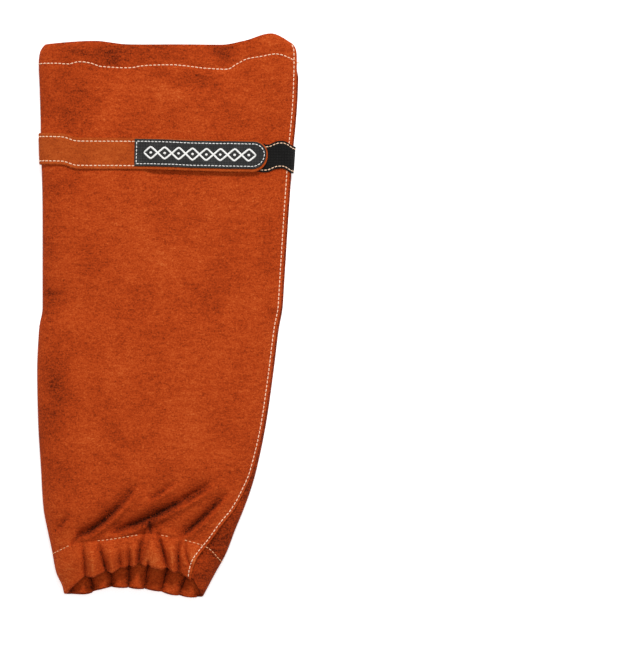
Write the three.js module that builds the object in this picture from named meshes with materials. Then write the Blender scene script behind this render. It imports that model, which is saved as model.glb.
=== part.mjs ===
// A leather welding sleeve, lying on a table with its strap side up.
// One panel of split cowhide is rolled into a tapering tube and lap-seamed along its length. Both ends are
// turned in: a plain hem at the bicep, and a casing with an elastic at the wrist, which gathers the leather.
// A leather strap wraps the outer fold and closes over a loop tape with a hook tape under its tip.
//
// Millimetres. X runs across the sleeve, Y from the wrist to the bicep, Z up from the table.
// Heights along the sleeve are shares of its length, counted from the wrist. Places across it are shares of
// the bicep's flat width, counted from the middle.

import * as THREE from "three";

// The panel
const SLEEVE_LENGTH = 535;
const BICEP_WIDTH = 247;
const BODY_HEIGHT = 30;
const FOLD_RADIUS = 5.5;
const LEATHER = 1.4;
const HEM_DEPTH = 25;
const CASING_DEPTH = 42;
const ELASTIC = 1;
const STITCH_INSET = 2.5;
const STITCH_PINCH = 1;
const SEAM_LAP = 10;
const LAP_GAP = 0.5;
const GATHER_RISE = 2.6;

// The strap and what it closes on
const STRAP_WIDTH = 28;
const STRAP_THICKNESS = 2;
const STRAP_TIP_INSET = 23;
const STRAP_BACK_LENGTH = 70;
const STRAP_RAMP = 16;
const TAPE_WIDTH = 25;
const TAPE_THICKNESS = 1.2;
const TAPE_FRONT_LENGTH = 127;
const TAPE_BACK_LENGTH = 88;
const HOOK_LENGTH = 88;
const HOOK_WIDTH = 24;
const HOOK_TIP_MARGIN = 5;
const LABEL_WIDTH = 25;
const LABEL_LENGTH = 127;
const LABEL_THICKNESS = 1;
const LABEL_MARGIN = 1.5;
const LABEL_SHIFT = 1;
const CLEARANCE = 0.35;

// The sleeve lies over the back ends of the strap and the tape. It is raised flat over them, and slopes down
// around them.
const DRAPE_FLAT = 2;
const DRAPE_SLOPE = 14;

// The lying tube: its folds at the left and right, the crown's height as a share of BODY_HEIGHT, the folds'
// radius as a share of FOLD_RADIUS, and how far the lapped edge lies inside the right fold.
const SECTIONS = [
  { at: 0.0, left: -0.396, right: 0.135, crown: 0.8, fold: 1.25, lapIn: 0.042 },
  { at: 0.013, left: -0.402, right: 0.15, crown: 0.86, fold: 1.3, lapIn: 0.054 },
  { at: 0.04, left: -0.427, right: 0.181, crown: 0.95, fold: 1.3, lapIn: 0.066 },
  { at: 0.08, left: -0.446, right: 0.227, crown: 0.93, fold: 1.25, lapIn: 0.06 },
  { at: 0.12, left: -0.461, right: 0.261, crown: 1.0, fold: 1.15, lapIn: 0.048 },
  { at: 0.155, left: -0.475, right: 0.292, crown: 1.03, fold: 1.05, lapIn: 0.032 },
  { at: 0.19, left: -0.481, right: 0.3195, crown: 1.02, fold: 1.0, lapIn: 0.0225 },
  { at: 0.226, left: -0.485, right: 0.3425, crown: 1.0, fold: 1.0, lapIn: 0.0135 },
  { at: 0.311, left: -0.496, right: 0.3815, crown: 0.96, fold: 1.0, lapIn: 0.0095 },
  { at: 0.4, left: -0.5, right: 0.4095, crown: 0.92, fold: 1.0, lapIn: 0.0095 },
  { at: 0.48, left: -0.492, right: 0.4315, crown: 0.88, fold: 1.0, lapIn: 0.0095 },
  { at: 0.514, left: -0.479, right: 0.4455, crown: 0.84, fold: 1.0, lapIn: 0.0095 },
  { at: 0.55, left: -0.479, right: 0.4505, crown: 0.84, fold: 1.0, lapIn: 0.0095 },
  { at: 0.673, left: -0.479, right: 0.4675, crown: 0.82, fold: 1.0, lapIn: 0.0095 },
  { at: 0.78, left: -0.484, right: 0.4835, crown: 0.78, fold: 1.0, lapIn: 0.0095 },
  { at: 0.908, left: -0.49, right: 0.5045, crown: 0.76, fold: 1.0, lapIn: 0.0095 },
  { at: 0.965, left: -0.494, right: 0.5005, crown: 0.75, fold: 1.0, lapIn: 0.0095 },
  { at: 1.0, left: -0.479, right: 0.4915, crown: 0.73, fold: 1.0, lapIn: 0.0095 },
];

// How far the upper and the lower lip of the wrist stand back from the sleeve's end, across from fold to fold
const WRIST_LIPS = [
  { across: -1.0, upper: 0.006, lower: 0.006 },
  { across: -0.7, upper: 0.034, lower: 0.0065 },
  { across: -0.35, upper: 0.045, lower: 0.0185 },
  { across: 0.2, upper: 0.059, lower: 0.0145 },
  { across: 0.62, upper: 0.045, lower: 0.004 },
  { across: 0.84, upper: 0.03, lower: 0.0005 },
  { across: 1.0, upper: 0.001, lower: 0.0 },
];

// How far the bicep's edge stands back from the sleeve's end, and how the upper ply waves behind it
const BICEP_EDGE = [
  { across: -1.0, back: 0.017, wave: 0.0 },
  { across: -0.62, back: 0.0135, wave: 0.1 },
  { across: -0.34, back: 0.0192, wave: -0.11 },
  { across: 0.02, back: 0.0201, wave: 0.07 },
  { across: 0.42, back: 0.02, wave: -0.09 },
  { across: 0.6, back: 0.0131, wave: 0.0 },
  { across: 0.82, back: 0.0, wave: 0.13 },
  { across: 1.0, back: 0.0178, wave: 0.0 },
];

// Creases of the upper ply. Each runs in a bend from one place to another, is deepest at its peak, and its
// wrist side is the steep one. Depths are shares of BODY_HEIGHT and widths shares of BICEP_WIDTH.
const CREASES = [
  { x0: -0.34, y0: 0.113, x1: -0.233, y1: 0.127, x2: -0.115, y2: 0.2, peak: 0.35, depth: 0.22, width: 0.042 },
  { x0: -0.21, y0: 0.12, x1: -0.048, y1: 0.1385, x2: 0.18, y2: 0.207, peak: 0.42, depth: 0.24, width: 0.044 },
  { x0: -0.07, y0: 0.175, x1: -0.02, y1: 0.188, x2: 0.04, y2: 0.21, peak: 0.45, depth: 0.08, width: 0.036 },
  { x0: 0.05, y0: 0.11, x1: 0.139, y1: 0.139, x2: 0.225, y2: 0.185, peak: 0.45, depth: 0.14, width: 0.04 },
  { x0: -0.435, y0: 0.116, x1: -0.405, y1: 0.128, x2: -0.37, y2: 0.15, peak: 0.5, depth: 0.1, width: 0.034 },
  { x0: -0.478, y0: 0.54, x1: -0.42, y1: 0.538, x2: -0.34, y2: 0.532, peak: 0.3, depth: 0.06, width: 0.024 },
  { x0: -0.478, y0: 0.518, x1: -0.43, y1: 0.519, x2: -0.37, y2: 0.524, peak: 0.3, depth: 0.06, width: 0.024 },
  { x0: 0.445, y0: 0.502, x1: 0.41, y1: 0.506, x2: 0.35, y2: 0.512, peak: 0.3, depth: 0.07, width: 0.026 },
];

// Crests of the wrist's gathers across the upper and the lower ply, and their rise as a share of GATHER_RISE
const UPPER_GATHERS = [
  { across: -1.05, rise: 0.2 },
  { across: -0.78, rise: 0.7 },
  { across: -0.51, rise: 1.0 },
  { across: -0.29, rise: 0.9 },
  { across: -0.09, rise: 0.8 },
  { across: 0.14, rise: 1.5 },
  { across: 0.38, rise: 1.0 },
  { across: 0.56, rise: 0.9 },
  { across: 0.8, rise: 0.6 },
  { across: 1.05, rise: 0.2 },
];
const LOWER_GATHERS = [
  { across: -1.05, rise: 0.2 },
  { across: -0.72, rise: 0.8 },
  { across: -0.45, rise: 1.0 },
  { across: -0.19, rise: 0.8 },
  { across: 0.03, rise: 1.0 },
  { across: 0.28, rise: 0.8 },
  { across: 0.52, rise: 1.0 },
  { across: 0.78, rise: 0.7 },
  { across: 1.05, rise: 0.2 },
];

// The line that the strap and its tape follow across the sleeve
const BAND_LINE = [
  { across: -0.5, at: 0.796 },
  { across: -0.4, at: 0.7945 },
  { across: -0.34, at: 0.787 },
  { across: -0.1, at: 0.786 },
  { across: 0.17, at: 0.782 },
  { across: 0.36, at: 0.781 },
  { across: 0.44, at: 0.786 },
  { across: 0.5, at: 0.777 },
];

// Shape of the tube. The crown is a superellipse, and these shares of the length say how far up or down the
// sleeve each detail is felt.
const CROWN_POWER = 4;
const LIP_REACH = 0.22;
const EDGE_REACH = 0.2;
const GATHER_START = 0.19;
const GATHER_FULL = 0.07;
const MIDDLE_CREASES_FROM = 0.495;
const MIDDLE_CREASES_TO = 0.55;
const BAND_AT = 0.785;
const BAND_FLAT = 0.04;
const BAND_BLEND = 0.13;

// Shape of the details: the lip's ripple and the lining's relief as shares of the gathers', the slope beside
// the lap as a multiple of its depth, the hem's puff as a share of the casing's, the steep side of a crease
// as a share of its width, the ridge beside it as a share of its depth, and the end of a round tip as a share
// of half the band's width
const LIP_RIPPLE = 0.6;
const LINING_RELIEF = 0.4;
const LAP_SLOPE = 5.5;
const HEM_PUFF = 0.5;
const CREASE_STEEP = 0.65;
const CREASE_RIDGE = 0.25;
const TIP_END = 0.3;

// How finely the panel is divided
const TOP_STEPS = 41;
const ARC_STEPS = 3;
const BACK_STEPS = 14;
const RISE_STEPS = 2;
const LAP_STEPS = 3;
const CREASE_STEPS = 12;
const EVENNESS = 0.55;
const STEP_ROW = 0.4;
const SLIVER = 0.004;
const TIP_PLACES = [0, 0.12, 0.35, 0.7];
const NORMAL_ROUND = 0.01;
const NORMAL_ALONG = 0.002;

const { lerp, clamp, smoothstep } = THREE.MathUtils;

// A smooth curve through one column of a table, which never swings past its rows
function follow(table, by, column, at) {
  const last = table.length - 1;
  const t = clamp(at, table[0][by], table[last][by]);
  let i = 0;
  while (i < last - 1 && t > table[i + 1][by]) i += 1;
  const slope = (k) => (table[k + 1][column] - table[k][column]) / (table[k + 1][by] - table[k][by]);
  const tangent = (k) => {
    if (k === 0) return slope(0);
    if (k === last) return slope(last - 1);
    const before = slope(k - 1);
    const after = slope(k);
    return before * after > 0 ? (2 * before * after) / (before + after) : 0;
  };
  const width = table[i + 1][by] - table[i][by];
  const s = (t - table[i][by]) / width;
  const rise = table[i + 1][column] - table[i][column];
  const a = tangent(i) * width - rise;
  const b = rise - tangent(i + 1) * width;
  return lerp(table[i][column], table[i + 1][column], s) + s * (1 - s) * (a * (1 - s) + b * s);
}

// The tube's flat section at a share v of its length
function sectionAt(v) {
  const size = (column, unit) => follow(SECTIONS, "at", column, v) * unit;
  const left = size("left", BICEP_WIDTH);
  const right = size("right", BICEP_WIDTH);
  return {
    left,
    right,
    seam: right - size("lapIn", BICEP_WIDTH),
    crown: size("crown", BODY_HEIGHT),
    fold: size("fold", FOLD_RADIUS),
    middle: (left + right) / 2,
    half: (right - left) / 2,
  };
}

// Height of a row of gathers at a place across the sleeve, between -1 and 1 in each gather
function gatherAt(gathers, across) {
  const last = gathers.length - 1;
  const t = clamp(across, gathers[0].across, gathers[last].across);
  let i = 0;
  while (i < last - 1 && t > gathers[i + 1].across) i += 1;
  const s = (t - gathers[i].across) / (gathers[i + 1].across - gathers[i].across);
  return lerp(gathers[i].rise, gathers[i + 1].rise, s) * Math.cos(2 * Math.PI * s);
}

// Strength of the gathers along the sleeve
const gatherStrength = (v) => 1 - smoothstep(v, GATHER_FULL, GATHER_START);

// How deep one crease lies below a point of the upper ply
function creaseDepth(crease, x, y) {
  const place = (s) => {
    const bend = (a, b, c) => (1 - s) * (1 - s) * a + 2 * s * (1 - s) * b + s * s * c;
    return [
      bend(crease.x0, crease.x1, crease.x2) * BICEP_WIDTH,
      (bend(crease.y0, crease.y1, crease.y2) - 0.5) * SLEEVE_LENGTH,
    ];
  };
  let nearest = { distance: Infinity };
  for (let i = 0; i < CREASE_STEPS; i += 1) {
    const [ax, ay] = place(i / CREASE_STEPS);
    const [bx, by] = place((i + 1) / CREASE_STEPS);
    const [dx, dy] = [bx - ax, by - ay];
    const s = clamp(((x - ax) * dx + (y - ay) * dy) / (dx * dx + dy * dy), 0, 1);
    const distance = Math.hypot(x - ax - s * dx, y - ay - s * dy);
    if (distance < nearest.distance) {
      const side = Math.sign(Math.abs(dx) * (y - ay) - (Math.sign(dx) || 1) * dy * (x - ax));
      nearest = { distance, side, along: (i + s) / CREASE_STEPS };
    }
  }
  const wide = crease.width * BICEP_WIDTH * (nearest.side > 0 ? 1 : CREASE_STEEP);
  const share = nearest.distance / wide;
  const ends = Math.sin(Math.PI * nearest.along ** (Math.log(0.5) / Math.log(crease.peak)));
  const valley = Math.exp(-share * share);
  const ridge = nearest.side > 0 ? 0 : CREASE_RIDGE * Math.exp(-((share - 2) ** 2));
  return crease.depth * BODY_HEIGHT * ends * (valley - ridge);
}

// The tube's section where the strap crosses it
const bandSection = sectionAt(BAND_AT);

// How far the band line stands off BAND_AT, as a share of the sleeve's length
const bandOffset = (x) => follow(BAND_LINE, "across", "at", x / BICEP_WIDTH) - BAND_AT;

// How high the sleeve is raised from the table over the ends of the strap and the tape, which lie under it
function drapeHeight(x, y) {
  const beside = Math.abs(y - (bandOffset(x) + BAND_AT - 0.5) * SLEEVE_LENGTH);
  const over = (thickness, width, beyondEnd) => {
    const beyondSide = beside - width / 2;
    const away = Math.hypot(Math.max(beyondSide - DRAPE_FLAT, 0), Math.max(beyondEnd - DRAPE_FLAT, 0));
    return (thickness + CLEARANCE) * (1 - smoothstep(away, 0, DRAPE_SLOPE));
  };
  return Math.max(
    over(STRAP_THICKNESS, STRAP_WIDTH, x - (bandSection.left + STRAP_BACK_LENGTH)),
    over(TAPE_THICKNESS, TAPE_WIDTH, bandSection.right - TAPE_BACK_LENGTH - x),
  );
}

// The puff of the two turned-in ends and the pinch of their stitch lines
function hemPuff(fromWrist) {
  const fromBicep = SLEEVE_LENGTH - fromWrist;
  const puffed = (distance, depth) => {
    const stitch = depth - STITCH_INSET;
    const puff = distance < stitch ? Math.sin((Math.PI * distance) / stitch) : 0;
    return puff - Math.exp(-(((distance - stitch) / STITCH_INSET) ** 2));
  };
  return STITCH_PINCH * (puffed(fromWrist, CASING_DEPTH) + HEM_PUFF * puffed(fromBicep, HEM_DEPTH));
}

// A point of the sleeve's outer face. The place around goes 0 to 1 over the upper ply from the seam to the
// left fold, 1 to 2 under that fold, 2 to 3 across the back, 3 to 4 under the right fold, 4 to 5 up to the
// seam, and 5 to 6 on under the lapped edge. The share v runs from the wrist's end to the bicep's. The gathers
// stand out by the share given as relief.
function facePoint(around, v, relief = 1) {
  const zone = Math.min(Math.floor(around), 5);
  const a = around - zone;
  const s = sectionAt(v);
  const arc = (a * Math.PI) / 2;
  const x = {
    0: lerp(s.seam, s.left, a),
    1: s.left + s.fold * (1 - Math.cos(arc)),
    2: lerp(s.left + s.fold, s.right - s.fold, a),
    3: s.right - s.fold * (1 - Math.sin(arc)),
    4: lerp(s.right, s.seam, a * a),
    5: s.seam - a * SEAM_LAP,
  }[zone];
  const upper = zone === 0 || zone > 3;
  const across = clamp((x - s.middle) / s.half, -1, 1);
  const inner = 1 - across ** 6;
  const edgeShare = smoothstep(v, 1 - EDGE_REACH, 1);
  const lipShare = 1 - smoothstep(v, 0, LIP_REACH);
  const bandShare = 1 - smoothstep(Math.abs(v - BAND_AT), BAND_FLAT, BAND_BLEND);
  const lip = follow(WRIST_LIPS, "across", upper ? "upper" : "lower", across) * lipShare;
  const edge = follow(BICEP_EDGE, "across", "back", across) * edgeShare;
  const y = (v - 0.5 + lip - edge + bandOffset(x) * bandShare) * SLEEVE_LENGTH;
  const gathered = relief * GATHER_RISE * gatherStrength(v) * inner;
  if (!upper) {
    const bow = { 1: 1 - Math.sin(arc), 2: 0, 3: 1 - Math.cos(arc) }[zone];
    const lifted = GATHER_RISE * gatherStrength(v) * inner;
    const z = drapeHeight(x, y) + s.fold * bow + lifted + gathered * gatherAt(LOWER_GATHERS, across);
    return new THREE.Vector3(x, y, z);
  }
  const raised = lerp(drapeHeight(s.left, y), drapeHeight(s.right, y), (across + 1) / 2);
  const crown = (s.crown - s.fold - raised) * Math.sqrt(1 - Math.abs(across) ** CROWN_POWER);
  const wave = follow(BICEP_EDGE, "across", "wave", across) * edgeShare * BODY_HEIGHT;
  const creased = CREASES.reduce((sum, crease) => sum + creaseDepth(crease, x, y), 0);
  const ripple = gathered * gatherAt(UPPER_GATHERS, across);
  const z = s.fold + raised + crown + wave + inner * (hemPuff(v * SLEEVE_LENGTH) - creased) + ripple;
  return new THREE.Vector3(x, y + LIP_RIPPLE * ripple * lipShare, z);
}

// The outward normal of the sleeve's outer face. At a fold it halves the angle between the faces beside it.
function faceNormal(around, v, relief = 1) {
  const point = facePoint(around, v, relief);
  const tangent = (round, along) => {
    const forth = facePoint(around + round, v + along, relief).sub(point).normalize();
    const back = facePoint(around - Math.min(round, around), v - along, relief).sub(point).normalize();
    return forth.sub(back);
  };
  return tangent(0, NORMAL_ALONG).cross(tangent(NORMAL_ROUND, 0)).normalize();
}

// Thickness of the panel, which is doubled where its ends are turned in, but not under the lap
function wallAt(around, fromWrist) {
  if (around > 4) return LEATHER;
  if (fromWrist < CASING_DEPTH) return 2 * LEATHER + ELASTIC;
  return fromWrist > SLEEVE_LENGTH - HEM_DEPTH ? 2 * LEATHER : LEATHER;
}

// How deep the lapped-under edge lies below the outer face
function lapDepth(fromWrist) {
  const casing = (LEATHER + ELASTIC) * (1 - smoothstep(fromWrist, CASING_DEPTH, 2 * CASING_DEPTH));
  const bicep = SLEEVE_LENGTH - HEM_DEPTH;
  const hem = LEATHER * smoothstep(fromWrist, bicep - SEAM_LAP, bicep);
  return LEATHER + LAP_GAP + casing + hem;
}

// Rows of the panel, in millimetres from the wrist: even steps up to each of these places. The rounded ends
// of the leather stand out beyond the first and the last row.
function panelRows() {
  const band = BAND_AT * SLEEVE_LENGTH;
  const hem = SLEEVE_LENGTH - HEM_DEPTH;
  const stretches = [
    { to: CASING_DEPTH - STITCH_INSET, steps: 6 },
    { to: CASING_DEPTH - STEP_ROW, steps: 1 },
    { to: CASING_DEPTH + STEP_ROW, steps: 1 },
    { to: GATHER_START * SLEEVE_LENGTH, steps: 8 },
    { to: MIDDLE_CREASES_FROM * SLEEVE_LENGTH, steps: 5 },
    { to: MIDDLE_CREASES_TO * SLEEVE_LENGTH, steps: 3 },
    { to: band - STRAP_WIDTH, steps: 2 },
    { to: band - STRAP_WIDTH / 2, steps: 1 },
    { to: band + STRAP_WIDTH / 2, steps: 2 },
    { to: band + STRAP_WIDTH, steps: 1 },
    { to: hem - STEP_ROW, steps: 2 },
    { to: hem + STEP_ROW, steps: 1 },
    { to: hem + STITCH_INSET, steps: 1 },
    { to: SLEEVE_LENGTH - wallAt(0, SLEEVE_LENGTH) / 2, steps: 3 },
  ];
  const rows = [wallAt(0, 0) / 2];
  for (const { to, steps } of stretches) {
    const from = rows[rows.length - 1];
    for (let i = 1; i <= steps; i += 1) rows.push(lerp(from, to, i / steps));
  }
  return rows;
}

// Places around the upper ply, closer together towards its edges
const evenOut = (a) => a - (EVENNESS / (2 * Math.PI)) * Math.sin(2 * Math.PI * a);

// Places around the panel, from the lapped edge on top to the one under it
function panelColumns() {
  const zones = [
    { steps: TOP_STEPS, spaced: evenOut },
    { steps: ARC_STEPS },
    { steps: BACK_STEPS },
    { steps: ARC_STEPS },
    { steps: RISE_STEPS },
    { steps: LAP_STEPS },
  ];
  const columns = [0];
  zones.forEach(({ steps, spaced = (a) => a }, zone) => {
    for (let i = 1; i <= steps; i += 1) columns.push(zone + spaced(i / steps));
  });
  return columns;
}

// A closed mesh from rings of points, one after another, with the two end rings capped
function closedRings(rings) {
  const count = rings[0].length;
  const positions = rings.flat().flatMap((point) => point.toArray());
  const index = [];
  for (let i = 0; i < rings.length - 1; i += 1) {
    for (let j = 0; j < count; j += 1) {
      const k = (j + 1) % count;
      const [a, b, c, d] = [i * count + j, i * count + k, (i + 1) * count + k, (i + 1) * count + j];
      index.push(a, b, c, a, c, d);
    }
  }
  const cap = (base, turned) => {
    let low = 0;
    let high = count - 1;
    for (let step = 0; step < count - 2; step += 1) {
      const next = step % 2 ? high - 1 : low + 1;
      index.push(...(turned ? [low, high, next] : [low, next, high]).map((k) => base + k));
      if (step % 2) high = next;
      else low = next;
    }
  };
  cap(0, true);
  cap((rings.length - 1) * count, false);
  const geometry = new THREE.BufferGeometry();
  geometry.setAttribute("position", new THREE.Float32BufferAttribute(positions, 3));
  geometry.setIndex(index);
  geometry.computeVertexNormals();
  return geometry;
}

// How deep the panel's face is sunk at each place around one of its rows: the edge under the lap clears the
// upper ply, and the sinking fades out on the way down from the seam
function sinkAlong(columns, fromWrist) {
  const depth = lapDepth(fromWrist);
  const slope = depth * LAP_SLOPE;
  const v = fromWrist / SLEEVE_LENGTH;
  const sink = columns.map(() => 0);
  let distance = 0;
  for (let j = columns.length - 1; distance < slope; j -= 1) {
    if (columns[j] < 5) distance += facePoint(columns[j], v).distanceTo(facePoint(columns[j + 1], v));
    sink[j] = depth * (1 - smoothstep(distance, 0, slope));
  }
  return sink;
}

// The panel: each ring runs up the outer face from the wrist, over the bicep's edge and back down the inner
// face, which follows the casing's gathers less than the outer face does
function panelGeometry() {
  const rows = panelRows();
  const columns = panelColumns();
  const sink = rows.map((fromWrist) => sinkAlong(columns, fromWrist));
  const last = rows.length - 1;
  const rings = columns.map((around, j) => {
    const pointsAt = (place) =>
      rows.map((fromWrist, i) => {
        const v = fromWrist / SLEEVE_LENGTH;
        const { relief, depth } = place(fromWrist);
        const inwards = faceNormal(around, v, relief).negate();
        return facePoint(around, v, relief).addScaledVector(inwards, sink[i][j] + depth);
      });
    const lapRelief = (fromWrist) =>
      lerp(LINING_RELIEF, 1, smoothstep(fromWrist, CASING_DEPTH, 2 * CASING_DEPTH));
    const liningRelief = (fromWrist) => (fromWrist < CASING_DEPTH ? LINING_RELIEF : 1);
    const face = pointsAt((fromWrist) => ({ relief: around < 5 ? 1 : lapRelief(fromWrist), depth: 0 }));
    const lining = pointsAt((fromWrist) => ({
      relief: around < 5 ? liningRelief(fromWrist) : lapRelief(fromWrist),
      depth: wallAt(around, fromWrist),
    }));
    const nose = (end, beside) => {
      const out = face[end].clone().sub(face[beside]).setLength(wallAt(around, rows[end]) / 2);
      return face[end].clone().lerp(lining[end], 0.5).add(out);
    };
    return [nose(0, 1), ...face, nose(last, last - 1), ...lining.reverse()];
  });
  return closedRings(rings);
}

// A band that lies on the sleeve's outer face along the band line. Each station gives its place around, half
// the band's width there, and how high the band's underside is above the face.
function bandGeometry({ stations, thickness, offset = 0, ribs = 2 }) {
  const rings = stations.map(({ around, half, lift }) => {
    const under = [];
    const over = [];
    for (let i = 0; i <= ribs; i += 1) {
      const v = BAND_AT + (offset + lerp(-half, half, i / ribs)) / SLEEVE_LENGTH;
      const point = facePoint(around, v);
      const normal = faceNormal(around, v);
      under.push(point.clone().addScaledVector(normal, lift));
      over.push(point.clone().addScaledVector(normal, lift + thickness));
    }
    return [...over, ...under.reverse()];
  });
  return closedRings(rings);
}

// The place around the upper ply of an X, where the strap crosses it
const aroundOf = (x) => (bandSection.seam - x) / (bandSection.seam - bandSection.left);

// The X where the strap ends
const strapTip = bandSection.right - STRAP_TIP_INSET;

// The place around the back of a distance in from the left fold
function backPlace(fromLeft) {
  return 2 + (fromLeft - bandSection.fold) / (2 * (bandSection.half - bandSection.fold));
}

// The panel's own places around, between two of them, with both ends
function placesBetween(from, to) {
  const inside = panelColumns().filter((around) => around > from + SLIVER && around < to - SLIVER);
  return [from, ...inside, to];
}

// Places along a band from its round tip on, with half its width at each
function fromRoundTip(tip, half, to) {
  const places = [
    ...TIP_PLACES.map((share) => aroundOf(tip - share * half)),
    ...placesBetween(aroundOf(tip - half), to),
  ];
  return places.map((around) => {
    const inside = Math.min((around - aroundOf(tip)) * (bandSection.seam - bandSection.left), half);
    return { around, half: Math.sqrt(Math.max(half ** 2 - (half - inside) ** 2, (TIP_END * half) ** 2)) };
  });
}

// Height of the strap's underside: it lies on the leather, and rises over the tapes under its tip
function strapLift(around) {
  const stack = TAPE_THICKNESS * 2 + CLEARANCE * 3;
  const tapeStart = bandSection.right - TAPE_FRONT_LENGTH - DRAPE_FLAT;
  const down = smoothstep(around, aroundOf(tapeStart), aroundOf(tapeStart - STRAP_RAMP));
  return lerp(stack, CLEARANCE, down);
}

function strapGeometry() {
  const stations = fromRoundTip(strapTip, STRAP_WIDTH / 2, backPlace(STRAP_BACK_LENGTH)).map((station) => ({
    ...station,
    lift: strapLift(station.around),
  }));
  return bandGeometry({ stations, thickness: STRAP_THICKNESS });
}

function labelGeometry() {
  const tip = strapTip - LABEL_MARGIN;
  const stations = fromRoundTip(tip, LABEL_WIDTH / 2, aroundOf(tip - LABEL_LENGTH)).map((station) => ({
    ...station,
    lift: strapLift(station.around) + STRAP_THICKNESS + CLEARANCE,
  }));
  return bandGeometry({ stations, thickness: LABEL_THICKNESS, offset: LABEL_SHIFT });
}

function hookGeometry() {
  const tip = strapTip - HOOK_TIP_MARGIN;
  const places = placesBetween(aroundOf(tip), aroundOf(tip - HOOK_LENGTH));
  const lift = TAPE_THICKNESS + 2 * CLEARANCE;
  const stations = places.map((around) => ({ around, half: HOOK_WIDTH / 2, lift }));
  return bandGeometry({ stations, thickness: TAPE_THICKNESS });
}

// The loop tape starts on the back, runs round the right fold to the seam, and on to its end under the strap
function loopGeometry() {
  const back = placesBetween(backPlace(2 * bandSection.half - TAPE_BACK_LENGTH), 5);
  const top = placesBetween(0, aroundOf(bandSection.right - TAPE_FRONT_LENGTH)).slice(1);
  const stations = [...back, ...top].map((around) => ({ around, half: TAPE_WIDTH / 2, lift: CLEARANCE }));
  return bandGeometry({ stations, thickness: TAPE_THICKNESS });
}

const suede = { color: 0xb2441d, roughness: 0.95, metalness: 0 };
const smoothSplit = { color: 0xb04c22, roughness: 0.85, metalness: 0 };
const wovenBadge = { color: 0x2f2f31, roughness: 0.8, metalness: 0 };
const nylon = { color: 0x1d1c1d, roughness: 0.7, metalness: 0 };

function piece(name, geometry, finish) {
  const mesh = new THREE.Mesh(geometry, new THREE.MeshStandardMaterial(finish));
  mesh.name = name;
  return mesh;
}

const sleeve = new THREE.Group();
sleeve.add(piece("sleeve_panel", panelGeometry(), suede));
sleeve.add(piece("strap", strapGeometry(), smoothSplit));
sleeve.add(piece("label_patch", labelGeometry(), wovenBadge));
sleeve.add(piece("hook_tape", hookGeometry(), nylon));
sleeve.add(piece("loop_tape", loopGeometry(), nylon));

// The origin is the middle of the sleeve's length and width, on the table
const extent = new THREE.Box3().setFromObject(sleeve, true);
const centre = extent.getCenter(new THREE.Vector3());
sleeve.children.forEach((mesh) => mesh.geometry.translate(-centre.x, -centre.y, -extent.min.z));

export default sleeve;
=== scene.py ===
# %% [markdown]
# A leather welding sleeve, lying on a pale floor with its strap side up.
# The imported model is loaded first. It is the fixed frame: it says where each piece is and how big it may
# be. Everything made here takes its place.

# %% Load the frame
import math

import bpy
import numpy as np
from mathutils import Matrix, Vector, noise


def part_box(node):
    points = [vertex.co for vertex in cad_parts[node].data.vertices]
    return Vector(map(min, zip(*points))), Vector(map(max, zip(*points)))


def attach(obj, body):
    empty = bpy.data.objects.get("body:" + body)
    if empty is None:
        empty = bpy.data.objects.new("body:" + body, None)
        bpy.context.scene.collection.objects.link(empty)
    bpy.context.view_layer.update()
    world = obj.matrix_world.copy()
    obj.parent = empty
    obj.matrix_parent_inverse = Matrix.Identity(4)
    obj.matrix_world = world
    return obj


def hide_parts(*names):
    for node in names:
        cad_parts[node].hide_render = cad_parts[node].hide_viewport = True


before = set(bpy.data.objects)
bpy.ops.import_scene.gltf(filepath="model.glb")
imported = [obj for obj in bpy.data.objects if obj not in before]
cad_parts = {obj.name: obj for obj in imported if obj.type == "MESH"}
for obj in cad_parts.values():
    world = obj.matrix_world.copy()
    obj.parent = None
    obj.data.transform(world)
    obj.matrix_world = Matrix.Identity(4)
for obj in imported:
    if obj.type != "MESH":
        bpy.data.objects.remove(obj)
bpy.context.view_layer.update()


def deselect():
    """Nothing is selected afterwards. Operators act on all that is selected, and the loaded nodes are."""
    if bpy.context.object and bpy.context.object.mode != "OBJECT":
        bpy.ops.object.mode_set(mode="OBJECT")
    bpy.ops.object.select_all(action="DESELECT")


deselect()

# %% [markdown]
# The camera. The photograph looks straight down with the framing of a long lens, so the camera hangs high
# over the floor, far enough that the sleeve shows no perspective. The picture is 634 by 663 pixels, and its
# longer side is the height. The sleeve lies in its left half, and the right half is empty floor.

# %% Camera
MM_PER_PIXEL = 0.95
PICTURE_HEIGHT = 663
VIEW_CENTRE = (141.6, -15.2)
LENS = 250.0
SENSOR = 36.0

camera_data = bpy.data.cameras.new("camera")
camera_data.lens = LENS
camera_data.sensor_width = SENSOR
camera_data.clip_end = 50.0
camera = bpy.data.objects.new("camera", camera_data)
bpy.context.scene.collection.objects.link(camera)
camera_height = PICTURE_HEIGHT * MM_PER_PIXEL * LENS / SENSOR / 1000
camera.location = (VIEW_CENTRE[0] / 1000, VIEW_CENTRE[1] / 1000, camera_height)
bpy.context.scene.camera = camera
print("camera", round(camera_height, 2), "m over the floor")

# %% [markdown]
# Sizes and tables of the sleeve, in millimetres. They are the ones that the solid model is built from, so
# that the finished surface lies where the solid lies. A long soft thing like this is easiest to describe as
# a row of flat sections, each with its left and right fold and the height of its crown. A smooth curve
# through each column gives every section between the rows.

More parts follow.
